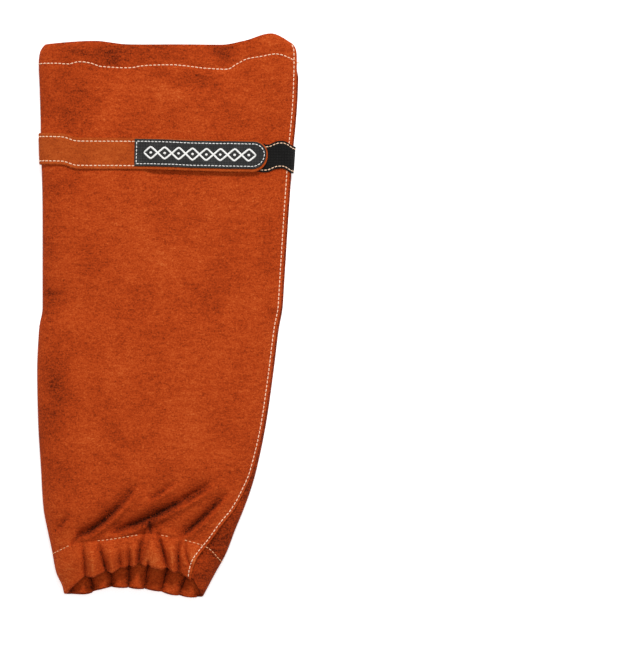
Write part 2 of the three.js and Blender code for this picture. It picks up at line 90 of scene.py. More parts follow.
# %% Sizes of the sleeve
LENGTH = 535.0
WIDTH = 247.0
BODY_HEIGHT = 30.0
FOLD_RADIUS = 5.5
LEATHER = 1.4
ELASTIC = 1.0
HEM_DEPTH = 25.0
CASING_DEPTH = 42.0
STITCH_INSET = 2.5
STITCH_PINCH = 1.0
HEM_PUFF = 0.5
SEAM_LAP = 10.0
LAP_GAP = 0.5
LAP_SLOPE = 5.5
GATHER_RISE = 2.6
CLEARANCE = 0.35
STRAP_WIDTH = 28.0
STRAP_THICKNESS = 2.0
STRAP_TIP_INSET = 25.0
STRAP_BACK = 70.0
STRAP_RAMP = 16.0
TAPE_WIDTH = 25.0
TAPE_THICKNESS = 1.2
TAPE_FRONT = 127.0
TAPE_BACK = 88.0
PATCH_WIDTH = 25.0
PATCH_LENGTH = 123.5
PATCH_THICKNESS = 1.0
PATCH_MARGIN = 1.5
PATCH_SHIFT = 1.0
DRAPE_FLAT = 2.0
DRAPE_SLOPE = 14.0
BAND_AT = 0.785
CORNER_INSET = 5.0
CORNER_LENGTH = 12.0
CORNER_CURVE = 2.5


def table(columns, rows):
    """Named columns of numbers from rows."""
    return dict(zip(columns.split(), np.array(rows, float).T))


# Places along are shares of the length from the wrist. Folds are shares of the width from the middle.
SECTIONS = table("at left right crown fold lap", [
    (0.0, -0.396, 0.135, 0.8, 1.25, 0.042),
    (0.013, -0.402, 0.15, 0.86, 1.3, 0.054),
    (0.04, -0.427, 0.181, 0.95, 1.3, 0.066),
    (0.08, -0.443, 0.228, 0.93, 1.25, 0.06),
    (0.12, -0.461, 0.261, 1.0, 1.15, 0.048),
    (0.155, -0.475, 0.292, 1.03, 1.05, 0.032),
    (0.19, -0.481, 0.3195, 1.02, 1.0, 0.0225),
    (0.226, -0.485, 0.3425, 1.0, 1.0, 0.0135),
    (0.311, -0.496, 0.3815, 0.96, 1.0, 0.0095),
    (0.4, -0.5, 0.4095, 0.92, 1.0, 0.0095),
    (0.48, -0.492, 0.4315, 0.88, 1.0, 0.0095),
    (0.514, -0.479, 0.4455, 0.84, 1.0, 0.0095),
    (0.55, -0.479, 0.4505, 0.84, 1.0, 0.0095),
    (0.673, -0.479, 0.4675, 0.82, 1.0, 0.0095),
    (0.78, -0.484, 0.4835, 0.78, 1.0, 0.0095),
    (0.908, -0.49, 0.5045, 0.76, 1.0, 0.0095),
    (0.965, -0.494, 0.507, 0.75, 1.0, 0.0095),
    (1.0, -0.485, 0.506, 0.73, 1.0, 0.0095),
])

# How far each lip of the wrist stands back from the sleeve's end, from the left fold to the right one
WRIST_LIPS = table("across upper lower", [
    (-1.0, 0.006, 0.006),
    (-0.7, 0.034, 0.0065),
    (-0.35, 0.045, 0.0185),
    (0.2, 0.059, 0.0145),
    (0.62, 0.045, 0.004),
    (0.84, 0.03, 0.0005),
    (1.0, 0.001, 0.0),
])

# How far the bicep's edge stands back, and how its upper ply waves
BICEP_EDGE = table("across back wave", [
    (-1.0, 0.017, 0.0),
    (-0.62, 0.0135, 0.1),
    (-0.34, 0.0192, -0.11),
    (0.02, 0.0201, 0.07),
    (0.42, 0.02, -0.09),
    (0.6, 0.0131, 0.0),
    (0.82, 0.0, 0.13),
    (1.0, 0.0178, 0.0),
])

# Crests of the gathers of the lower ply at the wrist
LOWER_GATHERS = table("across rise", [
    (-1.05, 0.2),
    (-0.72, 0.8),
    (-0.45, 1.0),
    (-0.19, 0.8),
    (0.03, 1.0),
    (0.28, 0.8),
    (0.52, 1.0),
    (0.78, 0.7),
    (1.05, 0.2),
])

# Distance of the hem's stitch line from the bicep's edge, and of the casing's from the wrist's edge
HEM_LINE = table("x down", [
    (-117, 20.4), (-104.5, 21.3), (-93, 22.7), (-82.6, 20.9), (-71.5, 22.5), (-62.7, 24.9), (-49.7, 24.4),
    (-33, 23.8), (-24.7, 22.1), (-9.5, 21), (4.8, 20.8), (19, 22), (34.2, 24), (48.5, 25), (57.5, 25.3),
    (66.5, 21.2), (77.5, 18.2), (94, 20.2), (104.5, 20), (117.5, 19.2),
])
CASING_LINE = table("x up", [
    (-110, 39.5), (-87, 39.5), (-60, 37.6), (-26, 37.6), (-5, 35.7), (35, 35.2), (50, 34.0),
])

# The line that the strap and its tape follow across the sleeve
BAND_LINE = table("across at", [
    (-0.5, 0.796),
    (-0.4, 0.7945),
    (-0.34, 0.787),
    (-0.1, 0.786),
    (0.17, 0.782),
    (0.36, 0.781),
    (0.44, 0.786),
    (0.5, 0.777),
])


def smoothstep(x, low, high):
    s = np.clip((x - low) / (high - low), 0, 1)
    return s * s * (3 - 2 * s)


def mix(a, b, share):
    return a + (b - a) * share


def follow(rows, by, column, at):
    """A smooth curve through one column of a table, which never swings past its rows."""
    xs, ys = rows[by], rows[column]
    slopes = np.diff(ys) / np.diff(xs)
    same_way = slopes[:-1] * slopes[1:]
    both = np.where(same_way > 0, slopes[:-1] + slopes[1:], 1.0)
    tangents = np.concatenate([slopes[:1], np.where(same_way > 0, 2 * same_way / both, 0), slopes[-1:]])
    at = np.clip(at, xs[0], xs[-1])
    i = np.clip(np.searchsorted(xs, at, side="right") - 1, 0, len(xs) - 2)
    width = xs[i + 1] - xs[i]
    rise = ys[i + 1] - ys[i]
    s = (at - xs[i]) / width
    bend = (tangents[i] * width - rise) * (1 - s) + (rise - tangents[i + 1] * width) * s
    return ys[i] + rise * s + s * (1 - s) * bend


def section(v):
    """The tube's flat section at a share v of its length. The hem's two corners are rounded."""
    to_end = np.clip(1 - (1 - np.asarray(v)) * LENGTH / CORNER_LENGTH, 0, 1)
    inset = CORNER_INSET * to_end ** CORNER_CURVE
    left = follow(SECTIONS, "at", "left", v) * WIDTH + inset
    right = follow(SECTIONS, "at", "right", v) * WIDTH - inset
    return {
        "left": left,
        "right": right,
        "seam": right - follow(SECTIONS, "at", "lap", v) * WIDTH,
        "crown": follow(SECTIONS, "at", "crown", v) * BODY_HEIGHT,
        "fold": follow(SECTIONS, "at", "fold", v) * FOLD_RADIUS,
        "middle": (left + right) / 2,
        "half": (right - left) / 2,
    }


band_section = {key: float(value) for key, value in section(BAND_AT).items()}
print("section under the strap in mm", {key: round(value, 1) for key, value in band_section.items()})

# %% [markdown]
# Creases and gathers. Leather that an elastic pulls together can't shorten smoothly: it throws diagonal
# creases over the forearm, and puffy pillows with sharp valleys in the casing. Cloth simulation could make
# such folds, but never these ones, so each is drawn as a bent line with a depth and a width, and
# the surface is pushed down or up along it. A fold fades out at both ends of its line.

# %% Folds of the upper ply
# Creases as shares: two ends and the bend between them, the place of the deepest point, depth and width
CREASES = table("x0 y0 x1 y1 x2 y2 peak depth width", [
    (-0.345, 0.11, -0.233, 0.127, -0.112, 0.205, 0.35, 0.36, 0.036),
    (-0.215, 0.118, -0.048, 0.1385, 0.185, 0.21, 0.42, 0.36, 0.038),
    (-0.07, 0.175, -0.02, 0.188, 0.04, 0.21, 0.45, 0.13, 0.028),
    (0.045, 0.108, 0.139, 0.139, 0.235, 0.19, 0.45, 0.28, 0.034),
    (0.065, 0.168, 0.105, 0.181, 0.165, 0.2, 0.45, 0.13, 0.03),
    (-0.435, 0.116, -0.405, 0.128, -0.37, 0.15, 0.5, 0.12, 0.03),
    (-0.066, 0.142, -0.064, 0.13, -0.061, 0.112, 0.45, 0.22, 0.03),
    (-0.37, 0.095, -0.345, 0.105, -0.31, 0.125, 0.5, 0.12, 0.02),
    (-0.478, 0.54, -0.42, 0.538, -0.34, 0.532, 0.3, 0.1, 0.018),
    (-0.478, 0.518, -0.43, 0.519, -0.37, 0.524, 0.3, 0.1, 0.018),
    (0.445, 0.502, 0.41, 0.506, 0.35, 0.512, 0.3, 0.11, 0.018),
    (-0.44, 0.62, -0.36, 0.6, -0.24, 0.615, 0.5, 0.03, 0.03),
    (0.02, 0.905, 0.12, 0.9, 0.24, 0.91, 0.5, 0.04, 0.03),
])
# Folds of the casing in millimetres: valleys go down, pillows and the tall tucked fold go up
CUFF_FOLDS = table("x0 y0 x1 y1 x2 y2 peak depth width", [
    (-80.8, -209, -77, -232, -77.4, -262, 0.6, 5.2, 3.4),
    (-65.6, -210, -60.8, -228.5, -54, -256, 0.6, 5.8, 3.6),
    (-46.5, -214, -43, -228.5, -44.5, -256, 0.6, 3.4, 3.0),
    (-37, -214, -35, -225.6, -36, -254, 0.6, 3.6, 3.0),
    (-17.5, -199, -29.5, -221, -25.5, -250, 0.55, 5.6, 3.0),
    (-11, -199, -2.7, -220, 2.4, -252, 0.55, 5.6, 3.0),
    (15.2, -207, 7.6, -224.7, 13.4, -252, 0.55, 5.4, 3.4),
    (19, -212, 14.7, -225.6, 24.9, -240, 0.5, 3.8, 2.2),
    (-73, -210, -69.5, -230.4, -67.5, -262, 0.6, -3.0, 4.6),
    (-54.2, -212, -51.8, -228.5, -50.3, -258, 0.6, -3.0, 4.0),
    (-31.3, -212, -30.8, -227.5, -30.4, -250, 0.6, -2.4, 3.2),
    (6, -212, 3.9, -227.5, 7.8, -256, 0.6, -3.0, 3.6),
    (27.6, -212, 23.8, -234.2, 29.5, -262, 0.55, -3.4, 6.0),
    (-17.2, -229, -17.6, -240, -17, -254, 0.5, 6.0, 2.2),
])
TUCK_TOP = (-14.3, -207.0)
TUCK_FOOT = (-12.6, -235.0)
TUCK_HALF = 12.1
TUCK_RISE = 6.0
CREASE_STEPS = 12
CREASE_STEEP = 0.32
VALLEY_SHARP = 1.7
FOLD_ENDS = 0.7
CREASE_RIDGE = 0.3
VALLEY_SOFT = 0.15
# Painted highlight on the crests of the casing's pillows and the tuck
CREST_PAINTED_LIGHT = 0.3
DEEP_FOLD = 7.0
TUCK_REACH = 1.3
TUCK_OPENING = 0.9
TUCK_SQUARE = 2.4
TUCK_ROUND = 0.8
TUCK_CLIMB = 0.45
# The painted shade line along a valley, as a narrow part and a wide one: weight, and how fast it fades
VALLEY_SHADE_LINES = [(0.65, 5.0), (0.35, 1.5)]
COLUMN_UNITS = {"x": WIDTH, "y": LENGTH, "d": BODY_HEIGHT, "w": WIDTH}


def fold_rows(rows, shares):
    """The rows of a table of folds as dictionaries, in millimetres."""
    made = []
    for i in range(len(rows["peak"])):
        row = {key: rows[key][i] for key in rows}
        if shares:
            row = {key: (row[key] - 0.5 if key[0] == "y" else row[key]) * COLUMN_UNITS.get(key[0], 1.0)
                   for key in row}
        made.append(row)
    return made


creases = fold_rows(CREASES, True)
cuff_folds = fold_rows(CUFF_FOLDS, False)


def fold_depth(fold, x, y, steep, ridge):
    """How deep one fold lies below each point, and how strongly its line is painted there: shade along a
    valley, a highlight along a pillow.
    """
    def place(s):
        parts = (1 - s) ** 2, 2 * s * (1 - s), s ** 2
        return [sum(p * fold[axis + str(i)] for i, p in enumerate(parts)) for axis in "xy"]

    nearest = np.full(np.shape(x), 1e9)
    side = np.zeros(np.shape(x))
    along = np.zeros(np.shape(x))
    for i in range(CREASE_STEPS):
        (ax, ay), (bx, by) = place(i / CREASE_STEPS), place((i + 1) / CREASE_STEPS)
        dx, dy = bx - ax, by - ay
        s = np.clip(((x - ax) * dx + (y - ay) * dy) / (dx * dx + dy * dy), 0, 1)
        distance = np.hypot(x - ax - s * dx, y - ay - s * dy)
        closer = distance < nearest
        nearest = np.where(closer, distance, nearest)
        turned = np.sign(abs(dx) * (y - ay) - (np.sign(dx) or 1) * dy * (x - ax))
        side = np.where(closer, turned, side)
        along = np.where(closer, (i + s) / CREASE_STEPS, along)
    share = nearest / (fold["width"] * np.where(side > 0, 1, steep))
    ends = np.sin(np.pi * along ** (math.log(0.5) / math.log(fold["peak"]))) ** FOLD_ENDS
    raised = ridge * np.exp(-((share - 2) ** 2)) * (side <= 0)
    sharp = np.exp(VALLEY_SHARP * (VALLEY_SOFT - np.hypot(share, VALLEY_SOFT)))
    shape = sharp if fold["depth"] > 0 else np.exp(-share * share)
    line = sum(weight * np.exp(-fade * nearest / fold["width"]) for weight, fade in VALLEY_SHADE_LINES)
    return fold["depth"] * ends * (shape - raised), ends * line


def tuck_height(x, y):
    """The tall tuck in the casing: a peak at its stitch line that opens to a broad foot at the lip."""
    down = (TUCK_TOP[1] - y) / (TUCK_TOP[1] - TUCK_FOOT[1])
    half = TUCK_HALF * np.clip(down, 0.001, TUCK_REACH) ** TUCK_OPENING
    across = abs(x - mix(TUCK_TOP[0], TUCK_FOOT[0], down)) / half
    body = np.clip(1 - across ** TUCK_SQUARE, 0, 1) ** TUCK_ROUND
    return np.where(down > 0, TUCK_RISE * np.clip(down, 0, 1) ** TUCK_CLIMB * body, 0)


def fold_sum(x, y):
    """All creases, all folds of the casing, and at each point the painted shade of the valleys less the
    painted highlight on the crests.
    """
    creased = np.zeros(np.shape(x))
    cuffed = np.zeros(np.shape(x))
    valley = np.zeros(np.shape(x))
    crest = np.zeros(np.shape(x))
    for fold in creases:
        depth, share = fold_depth(fold, x, y, CREASE_STEEP, CREASE_RIDGE)
        creased += depth
        valley = np.maximum(valley, share * min(fold["depth"] / DEEP_FOLD, 1))
    for fold in cuff_folds:
        depth, share = fold_depth(fold, x, y, 1.0, 0.0)
        cuffed += depth
        if fold["depth"] > 0:
            valley = np.maximum(valley, share * min(fold["depth"] / DEEP_FOLD, 1))
        else:
            crest = np.maximum(crest, share)
    tuck = tuck_height(x, y)
    crest = np.maximum(crest, tuck / TUCK_RISE)
    return creased, cuffed - tuck, valley - CREST_PAINTED_LIGHT * crest * (1 - valley)


print(len(creases), "creases and", len(cuff_folds), "folds of the casing")

# %% [markdown]
# The face of the sleeve as a function. A place around the tube and a share of its length give a point. The
# same function then carries everything that lies on the leather: strap, patch, tapes and every stitch.
# Around goes 0 to 1 over the upper ply from the seam to the left fold, 1 to 2 under that fold, 2 to 3
# across the back, 3 to 4 under the right fold, 4 to 5 up to the seam, and 5 to 6 on under the lap.

# %% The sleeve's face
CROWN_POWER = 4
LIP_REACH = 0.22
EDGE_REACH = 0.2
GATHER_START = 0.19
GATHER_FULL = 0.07
BAND_FLAT = 0.04
BAND_BLEND = 0.13
LIP_RIPPLE = -0.3
CASING_PUFF = 1.5
HEM_RISE = 1.6
WAVES = [(46.0, 0.55, 3.0), (17.0, 0.22, 11.0)]
PUCKER_SIZE = 8.0
PUCKER_RISE = 0.5
PUCKER_REACH = 5.0
PUCKER_SEED = 7.0


def soft_noise(x, y, size, seed):
    """Smooth noise between about -1 and 1, with lumps of a size in millimetres."""
    flat = [noise.noise(Vector((a, b, seed))) for a, b in zip(np.ravel(x) / size, np.ravel(y) / size)]
    return np.array(flat).reshape(np.shape(x))


def band_offset(x):
    """How far the strap's line stands off its place, as a share of the length."""
    return follow(BAND_LINE, "across", "at", x / WIDTH) - BAND_AT


def drape_height(x, y):
    """How high the sleeve is raised over the ends of the strap and the tape, which lie under it."""
    beside = abs(y - (band_offset(x) + BAND_AT - 0.5) * LENGTH)

    def over(thickness, width, beyond_end):
        past_side = np.maximum(beside - width / 2 - DRAPE_FLAT, 0)
        away = np.hypot(past_side, np.maximum(beyond_end - DRAPE_FLAT, 0))
        return (thickness + CLEARANCE) * (1 - smoothstep(away, 0, DRAPE_SLOPE))

    strap_end = band_section["left"] + STRAP_BACK
    tape_end = band_section["right"] - TAPE_BACK
    over_strap = over(STRAP_THICKNESS, STRAP_WIDTH, x - strap_end)
    return np.maximum(over_strap, over(TAPE_THICKNESS, TAPE_WIDTH, tape_end - x))


def hem_line(x):
    """Distance of the hem's stitch line from the bicep's edge, at an X."""
    return follow(HEM_LINE, "x", "down", x)


def casing_line(x):
    """Distance of the casing's stitch line from the wrist's edge, at an X."""
    return follow(CASING_LINE, "x", "up", x)


def hem_puff(from_wrist, x):
    """The puff of the two turned-in ends, and the pinch of their stitch lines."""
    def puffed(distance, stitch, rise):
        puff = np.where(distance < stitch, rise * np.sin(np.pi * np.clip(distance / stitch, 0, 1)), 0)
        return puff - STITCH_PINCH * np.exp(-(((distance - stitch) / STITCH_INSET) ** 2))

    at_hem = puffed(LENGTH - from_wrist, hem_line(x), HEM_RISE)
    return puffed(from_wrist, casing_line(x), CASING_PUFF) + HEM_PUFF * at_hem


def lower_gather(across):
    """Height of the gathers of the lower ply, between about -1 and 1, with narrow valleys."""
    places, rises = LOWER_GATHERS["across"], LOWER_GATHERS["rise"]
    at = np.clip(across, places[0], places[-1])
    i = np.clip(np.searchsorted(places, at, side="right") - 1, 0, len(places) - 2)
    s = (at - places[i]) / (places[i + 1] - places[i])
    return mix(rises[i], rises[i + 1], s) * (2 * abs(np.cos(np.pi * s)) - 1)


def face(around, v, relief=1.0):
    """Points of the sleeve's outer face in millimetres. Relief says how much of the casing's folds shows."""
    around, v, relief = np.broadcast_arrays(np.asarray(around, float), np.asarray(v, float), relief)
    zone = np.minimum(np.floor(around), 5)
    a = around - zone
    s = section(v)
    arc = a * np.pi / 2
    x = np.select(
        [zone == 0, zone == 1, zone == 2, zone == 3, zone == 4],
        [
            mix(s["seam"], s["left"], a),
            s["left"] + s["fold"] * (1 - np.cos(arc)),
            mix(s["left"] + s["fold"], s["right"] - s["fold"], a),
            s["right"] - s["fold"] * (1 - np.sin(arc)),
            mix(s["right"], s["seam"], a * a),
        ],
        s["seam"] - a * SEAM_LAP,
    )
    upper = (zone == 0) | (zone > 3)
    across = np.clip((x - s["middle"]) / s["half"], -1, 1)
    inner = 1 - across ** 6
    edge_share = smoothstep(v, 1 - EDGE_REACH, 1)
    lip_share = 1 - smoothstep(v, 0, LIP_REACH)
    band_share = 1 - smoothstep(abs(v - BAND_AT), BAND_FLAT, BAND_BLEND)
    upper_lip, lower_lip = (follow(WRIST_LIPS, "across", ply, across) for ply in ("upper", "lower"))
    lip = np.where(upper, upper_lip, lower_lip)
    edge = follow(BICEP_EDGE, "across", "back", across) * edge_share
    y = (v - 0.5 + lip * lip_share - edge + band_offset(x) * band_share) * LENGTH
    strength = 1 - smoothstep(v, GATHER_FULL, GATHER_START)
    lifted = GATHER_RISE * strength * inner
    bow = np.select([zone == 1, zone == 3], [1 - np.sin(arc), 1 - np.cos(arc)], 0)
    low_z = drape_height(x, y) + s["fold"] * bow + lifted * (1 + relief * lower_gather(across))
    raised = mix(drape_height(s["left"], y), drape_height(s["right"], y), (across + 1) / 2)
    crown = (s["crown"] - s["fold"] - raised) * np.sqrt(1 - abs(across) ** CROWN_POWER)
    wave = follow(BICEP_EDGE, "across", "wave", across) * edge_share * BODY_HEIGHT
    from_wrist = v * LENGTH
    creased, cuffed, _ = fold_sum(x, y)
    waves = sum(rise * soft_noise(x, y, size, seed) for size, rise, seed in WAVES)
    near_stitch = np.minimum(abs(from_wrist - casing_line(x)), abs(LENGTH - from_wrist - hem_line(x)))
    near = np.exp(-((near_stitch / PUCKER_REACH) ** 2))
    pucker = PUCKER_RISE * near * soft_noise(x, y, PUCKER_SIZE, PUCKER_SEED)
    ripple = -relief * cuffed * inner
    high_z = s["fold"] + raised + crown + wave + ripple
    high_z = high_z + inner * (hem_puff(from_wrist, x) - creased + waves + relief * pucker)
    z = np.where(upper, high_z, low_z)
    y = np.where(upper, y + LIP_RIPPLE * np.clip(ripple, -4, 4) * lip_share, y)
    return np.stack([x, y, z], -1)


def unit(vectors):
    return vectors / np.maximum(np.linalg.norm(vectors, axis=-1, keepdims=True), 1e-9)


def face_normal(around, v, relief=1.0):
    """Outward normals of the face, from short steps along it both ways."""
    around = np.asarray(around, float)
    steps = [(0.0, 0.002), (0.008, 0.0)]
    tangents = []
    for round_step, along_step in steps:
        forth = face(around + round_step, v + along_step, relief)
        back = face(np.maximum(around - round_step, 0), v - along_step, relief)
        tangents.append(unit(forth - back))
    return unit(np.cross(tangents[0], tangents[1]))


probe = face(np.array([0.5]), np.array([0.5]))
probe_normal = face_normal(np.array([0.5]), np.array([0.5]))
print("middle of the upper ply in mm", probe.round(1), "normal", probe_normal.round(2))

# %% [markdown]
# A wall with a thickness. Leather is seen at its edges, so the panel and every band are closed walls: an
# outer face, an inner face, and round noses along the two long edges. The Solidify modifier does this for
# an even wall. This one is thicker where the leather is turned in, so the wall is made in code from two
# grids of points, and the same function serves all bands.

# %% A wall between two grids
NOSE_ANGLES = [30, 60, 90, 120, 150]
# Painted shade added to the panel's rounded lips, which draws a dark outline along them
LIP_PAINTED_SHADE = 0.3
frame_shift = [0.0, 0.0, 0.0]


def new_piece(name, points, faces, smooth_angle=50.0):
    """A mesh object from points in millimetres and faces, shaded smooth, with its faces outwards."""
    mesh = bpy.data.meshes.new(name)
    placed = np.asarray(points) / 1000 + np.array(frame_shift)
    mesh.from_pydata(placed.tolist(), [], faces)
    mesh.validate()
    piece = bpy.data.objects.new(name, mesh)
    bpy.context.scene.collection.objects.link(piece)
    deselect()
    piece.select_set(True)
    bpy.context.view_layer.objects.active = piece
    bpy.ops.object.mode_set(mode="EDIT")
    bpy.ops.mesh.select_all(action="SELECT")
    bpy.ops.mesh.normals_make_consistent(inside=False)
    bpy.ops.object.mode_set(mode="OBJECT")
    bpy.ops.object.shade_smooth_by_angle(angle=math.radians(smooth_angle))
    deselect()
    return piece


def nose_points(outer, inner, beside):
    """Points round the edge from the outer wall to the inner one."""
    middle, half = (outer + inner) / 2, (outer - inner) / 2
    away = unit(outer - beside) * np.linalg.norm(half, axis=-1, keepdims=True)
    return [middle + half * math.cos(math.radians(t)) + away * math.sin(math.radians(t)) for t in NOSE_ANGLES]


def wall(name, outer, inner, shade=None, inner_shade=0.0, inner_rows=None, cut_noses=True):
    """A closed wall between two grids. The inner grid may have fewer rows: inner_rows says which ones.
    Cut edges get the second material."""
    columns, rows = outer.shape[:2]
    inner_rows = np.arange(rows) if inner_rows is None else inner_rows
    first = nose_points(outer[:, 0], inner[:, 0], outer[:, 1])
    last = nose_points(outer[:, -1], inner[:, -1], outer[:, -2])
    rings = np.concatenate([outer, np.stack(last, 1), inner[:, ::-1], np.stack(first[::-1], 1)], axis=1)
    count = rings.shape[1]
    noses = len(NOSE_ANGLES)
    inside = len(inner_rows)
    i, j = np.meshgrid(np.arange(columns - 1), np.arange(count), indexing="ij")
    k = (j + 1) % count
    quads = np.stack([i * count + j, i * count + k, (i + 1) * count + k, (i + 1) * count + j], -1)
    faces = quads.reshape(-1, 4).tolist()
    on_edge = ((j >= rows - 1) & (j < rows + noses)) | (j >= rows + inside + noses - 1)
    edge = (on_edge & cut_noses).ravel().tolist()
    for base in (0, (columns - 1) * count):
        foot = base + rows + noses + inside - 1
        for q, (r, to) in enumerate(zip(inner_rows, inner_rows[1:])):
            faces.append([base + n for n in range(r, to + 1)] + [foot - q - 1, foot - q])
        faces.append([base + rows - 1 + n for n in range(noses + 2)])
        faces.append([base, *(foot + n for n in range(noses + 1))])
        edge += [True] * (inside + 1)
    piece = new_piece(name, rings.reshape(-1, 3), faces)
    piece.data.attributes.new("shade", "FLOAT", "POINT")
    if shade is not None:
        # The noses take their edge row's value plus painted shade
        ends = [np.repeat(shade[:, -1:], noses, 1), np.repeat(shade[:, :1], noses, 1)]
        inside_shade = np.broadcast_to(inner_shade, inner.shape[:2])[:, ::-1]
        values = np.concatenate([shade, ends[0] + LIP_PAINTED_SHADE, inside_shade, ends[1] + LIP_PAINTED_SHADE], axis=1)
        piece.data.attributes["shade"].data.foreach_set("value", values.ravel().astype(np.float32))
    piece.data.polygons.foreach_set("material_index", np.array(edge, np.int32))
    print(name, len(faces), "faces")
    return piece


# %% [markdown]
# The panel. Its rows are close together at the cuff and the hem, where the folds are small, and wide apart
# between. A number at each point, which the suede reads, holds stains and painted light: painted shade in the
# valleys, on the underside, at the folds, on the seam's side and in the mouth, and a painted highlight on the
# casing's crests. The large dark clouds of split leather lie where the hide had them, and noise can't place
# those; one lighter cloud on the cuff is a painted pool of light.

# %% The sleeve's panel
ROW_STRETCHES = [(42, 42), (112, 62), (500, 88), (LENGTH - LEATHER, 27)]
ZONE_STEPS = [190, 10, 46, 8, 10, 6]
INNER_DENSE = 60
INNER_STEP = 3
CASING_RELIEF = 0.45
MOUTH_RELIEF = 1.4
# Clouds in the leather, and one painted pool of light on the cuff: place, half-sizes, and how dark they are
CLOUDS = table("x y wide tall dark", [
    (-49, 246, 27, 11, 0.95),
    (52, 250, 11, 10, 0.7),
    (-90, 251, 16, 5, 0.5),
    (20, 252, 60, 12, 0.3),
    (14, 225, 34, 6, 0.42),
    (81, 227, 10, 7, 0.35),
    (-92, 205, 30, 34, 0.35),
    (-91, 184, 13, 9, 0.35),
    (-98, 127, 12, 12, 0.42),
    (84, 176, 15, 12, 0.25),
    (-113, 43, 9, 46, 0.3),
    (-105, -77, 15, 56, 0.45),
    (-100, -149, 19, 19, 0.25),
    (8, 210, 17, 9, -0.4),
    (-73, -118, 15, 8, -0.28),
    # This lighter row is a painted pool of light on the cuff's left side, which slopes away from the lamp
    (-90, -238, 15, 16, -0.45),
    (20, -226, 12, 12, -0.3),
    (-50, -222, 26, 10, -0.2),
    (-79, -61, 9, 15, -0.3),
    (30, -110, 12, 9, -0.25),
    (-20, 60, 40, 20, -0.12),
    (40, 20, 30, 30, 0.12),
    (64, 236, 26, 12, -0.15),
    (95, 262, 12, 6, -0.2),
])
CLOUD_WEIGHT = 0.7
CLOUD_WANDER = 9.0
WANDER_SIZE = 22.0
WANDER_SEED = 31.0
# Weights of painted shade and light: in the valleys and on the crests, on the underside, at the left fold, on
# the seam's side and inside the mouth
VALLEY_SHADE_WEIGHT = 1.45
UNDERSIDE_PAINTED_SHADE = 0.15
FOLD_PAINTED_SHADE = 0.4
SEAM_SIDE_PAINTED_SHADE = 0.6
MOUTH_PAINTED_SHADE = 0.55
MOUTH_GATHER_PAINTED_SHADE = 0.75


def panel_rows():
    rows = [1.9]
    for to, steps in ROW_STRETCHES:
        rows += list(np.linspace(rows[-1], to, steps + 1)[1:])
    return np.array(rows)


def panel_columns():
    columns = [0.0]
    for zone, steps in enumerate(ZONE_STEPS):
        shares = np.linspace(0, 1, steps + 1)[1:]
        if zone == 0:
            shares = shares - 0.4 / (2 * np.pi) * np.sin(2 * np.pi * shares)
        columns += list(zone + shares)
    return np.array(columns)


def grid_normals(points):
    """Outward normals of a grid of points, columns by rows."""
    return unit(np.cross(np.gradient(points, axis=1), np.gradient(points, axis=0)))


def cloud_shade(x, y):
    """How dark the leather is at a place, from the clouds in it and the painted pool of light on the cuff."""
    total = np.zeros(np.shape(x))
    wander = CLOUD_WANDER * soft_noise(x, y, WANDER_SIZE, WANDER_SEED)
    for cx, cy, wide, tall, dark in zip(*CLOUDS.values()):
        reach = ((x + wander - cx) / wide) ** 2 + ((y - wander - cy) / tall) ** 2
        total += dark * np.exp(-reach)
    return total


rows_mm = panel_rows()
columns = panel_columns()
around = np.repeat(columns[:, None], len(rows_mm), 1)
v = np.repeat(rows_mm[None, :], len(columns), 0) / LENGTH
from_wrist = v * LENGTH
lapped = around >= 5
lap_relief = mix(CASING_RELIEF, 1, smoothstep(from_wrist, CASING_DEPTH, 2 * CASING_DEPTH))
outer_relief = np.where(lapped, lap_relief, 1.0)
below = (around > 1) & (around < 4)
inner_relief = mix(np.where(below, MOUTH_RELIEF, CASING_RELIEF), 1, smoothstep(from_wrist, 40, 46))
inner_relief = np.where(lapped, lap_relief, inner_relief)
outer = face(around, v, outer_relief)
last_row = len(rows_mm) - 1
picked = [r for r in range(last_row + 1) if r < INNER_DENSE or r == last_row or r % INNER_STEP == 0]
inner_base = face(around, v, inner_relief)[:, picked]
casing = (LEATHER + ELASTIC) * (1 - smoothstep(from_wrist, CASING_DEPTH - 0.5, CASING_DEPTH + 0.5))
hem = LEATHER * smoothstep(from_wrist, LENGTH - HEM_DEPTH - 0.5, LENGTH - HEM_DEPTH + 0.5)
thickness = LEATHER + np.where(around > 4, 0, casing + hem)

lap_depth = (
    LEATHER
    + LAP_GAP
    + (LEATHER + ELASTIC) * (1 - smoothstep(from_wrist, CASING_DEPTH, 2 * CASING_DEPTH))
    + LEATHER * smoothstep(from_wrist, LENGTH - HEM_DEPTH - SEAM_LAP, LENGTH - HEM_DEPTH)
)
steps = np.linalg.norm(np.diff(outer, axis=0), axis=-1) * (columns[:-1, None] < 5)
to_seam = np.concatenate([np.cumsum(steps[::-1], axis=0)[::-1], np.zeros((1, len(rows_mm)))])
sink = lap_depth * (1 - smoothstep(to_seam, 0, lap_depth * LAP_SLOPE))

outwards = grid_normals(outer)
inner_outwards = grid_normals(inner_base)
outer_face = outer - outwards * sink[..., None]
inner_face = inner_base - inner_outwards * (sink + thickness)[:, picked, None]
upper = (around < 1) | (around > 4)
valley = fold_sum(outer[..., 0], outer[..., 1])[2]
# Stains of the hide, plus painted shade in the valleys and a painted highlight on the crests
stains_and_painted_shade = CLOUD_WEIGHT * cloud_shade(outer[..., 0], outer[..., 1]) + VALLEY_SHADE_WEIGHT * valley
# Painted shade where the sleeve turns away from the lamp: its underside, the left fold and the seam's side
shade = np.where(upper, stains_and_painted_shade, UNDERSIDE_PAINTED_SHADE)
shade = shade + FOLD_PAINTED_SHADE * smoothstep(around, 0.95, 1.3) * (around < 2)
shade = shade + SEAM_SIDE_PAINTED_SHADE * ((around > 3) & (around < 5))
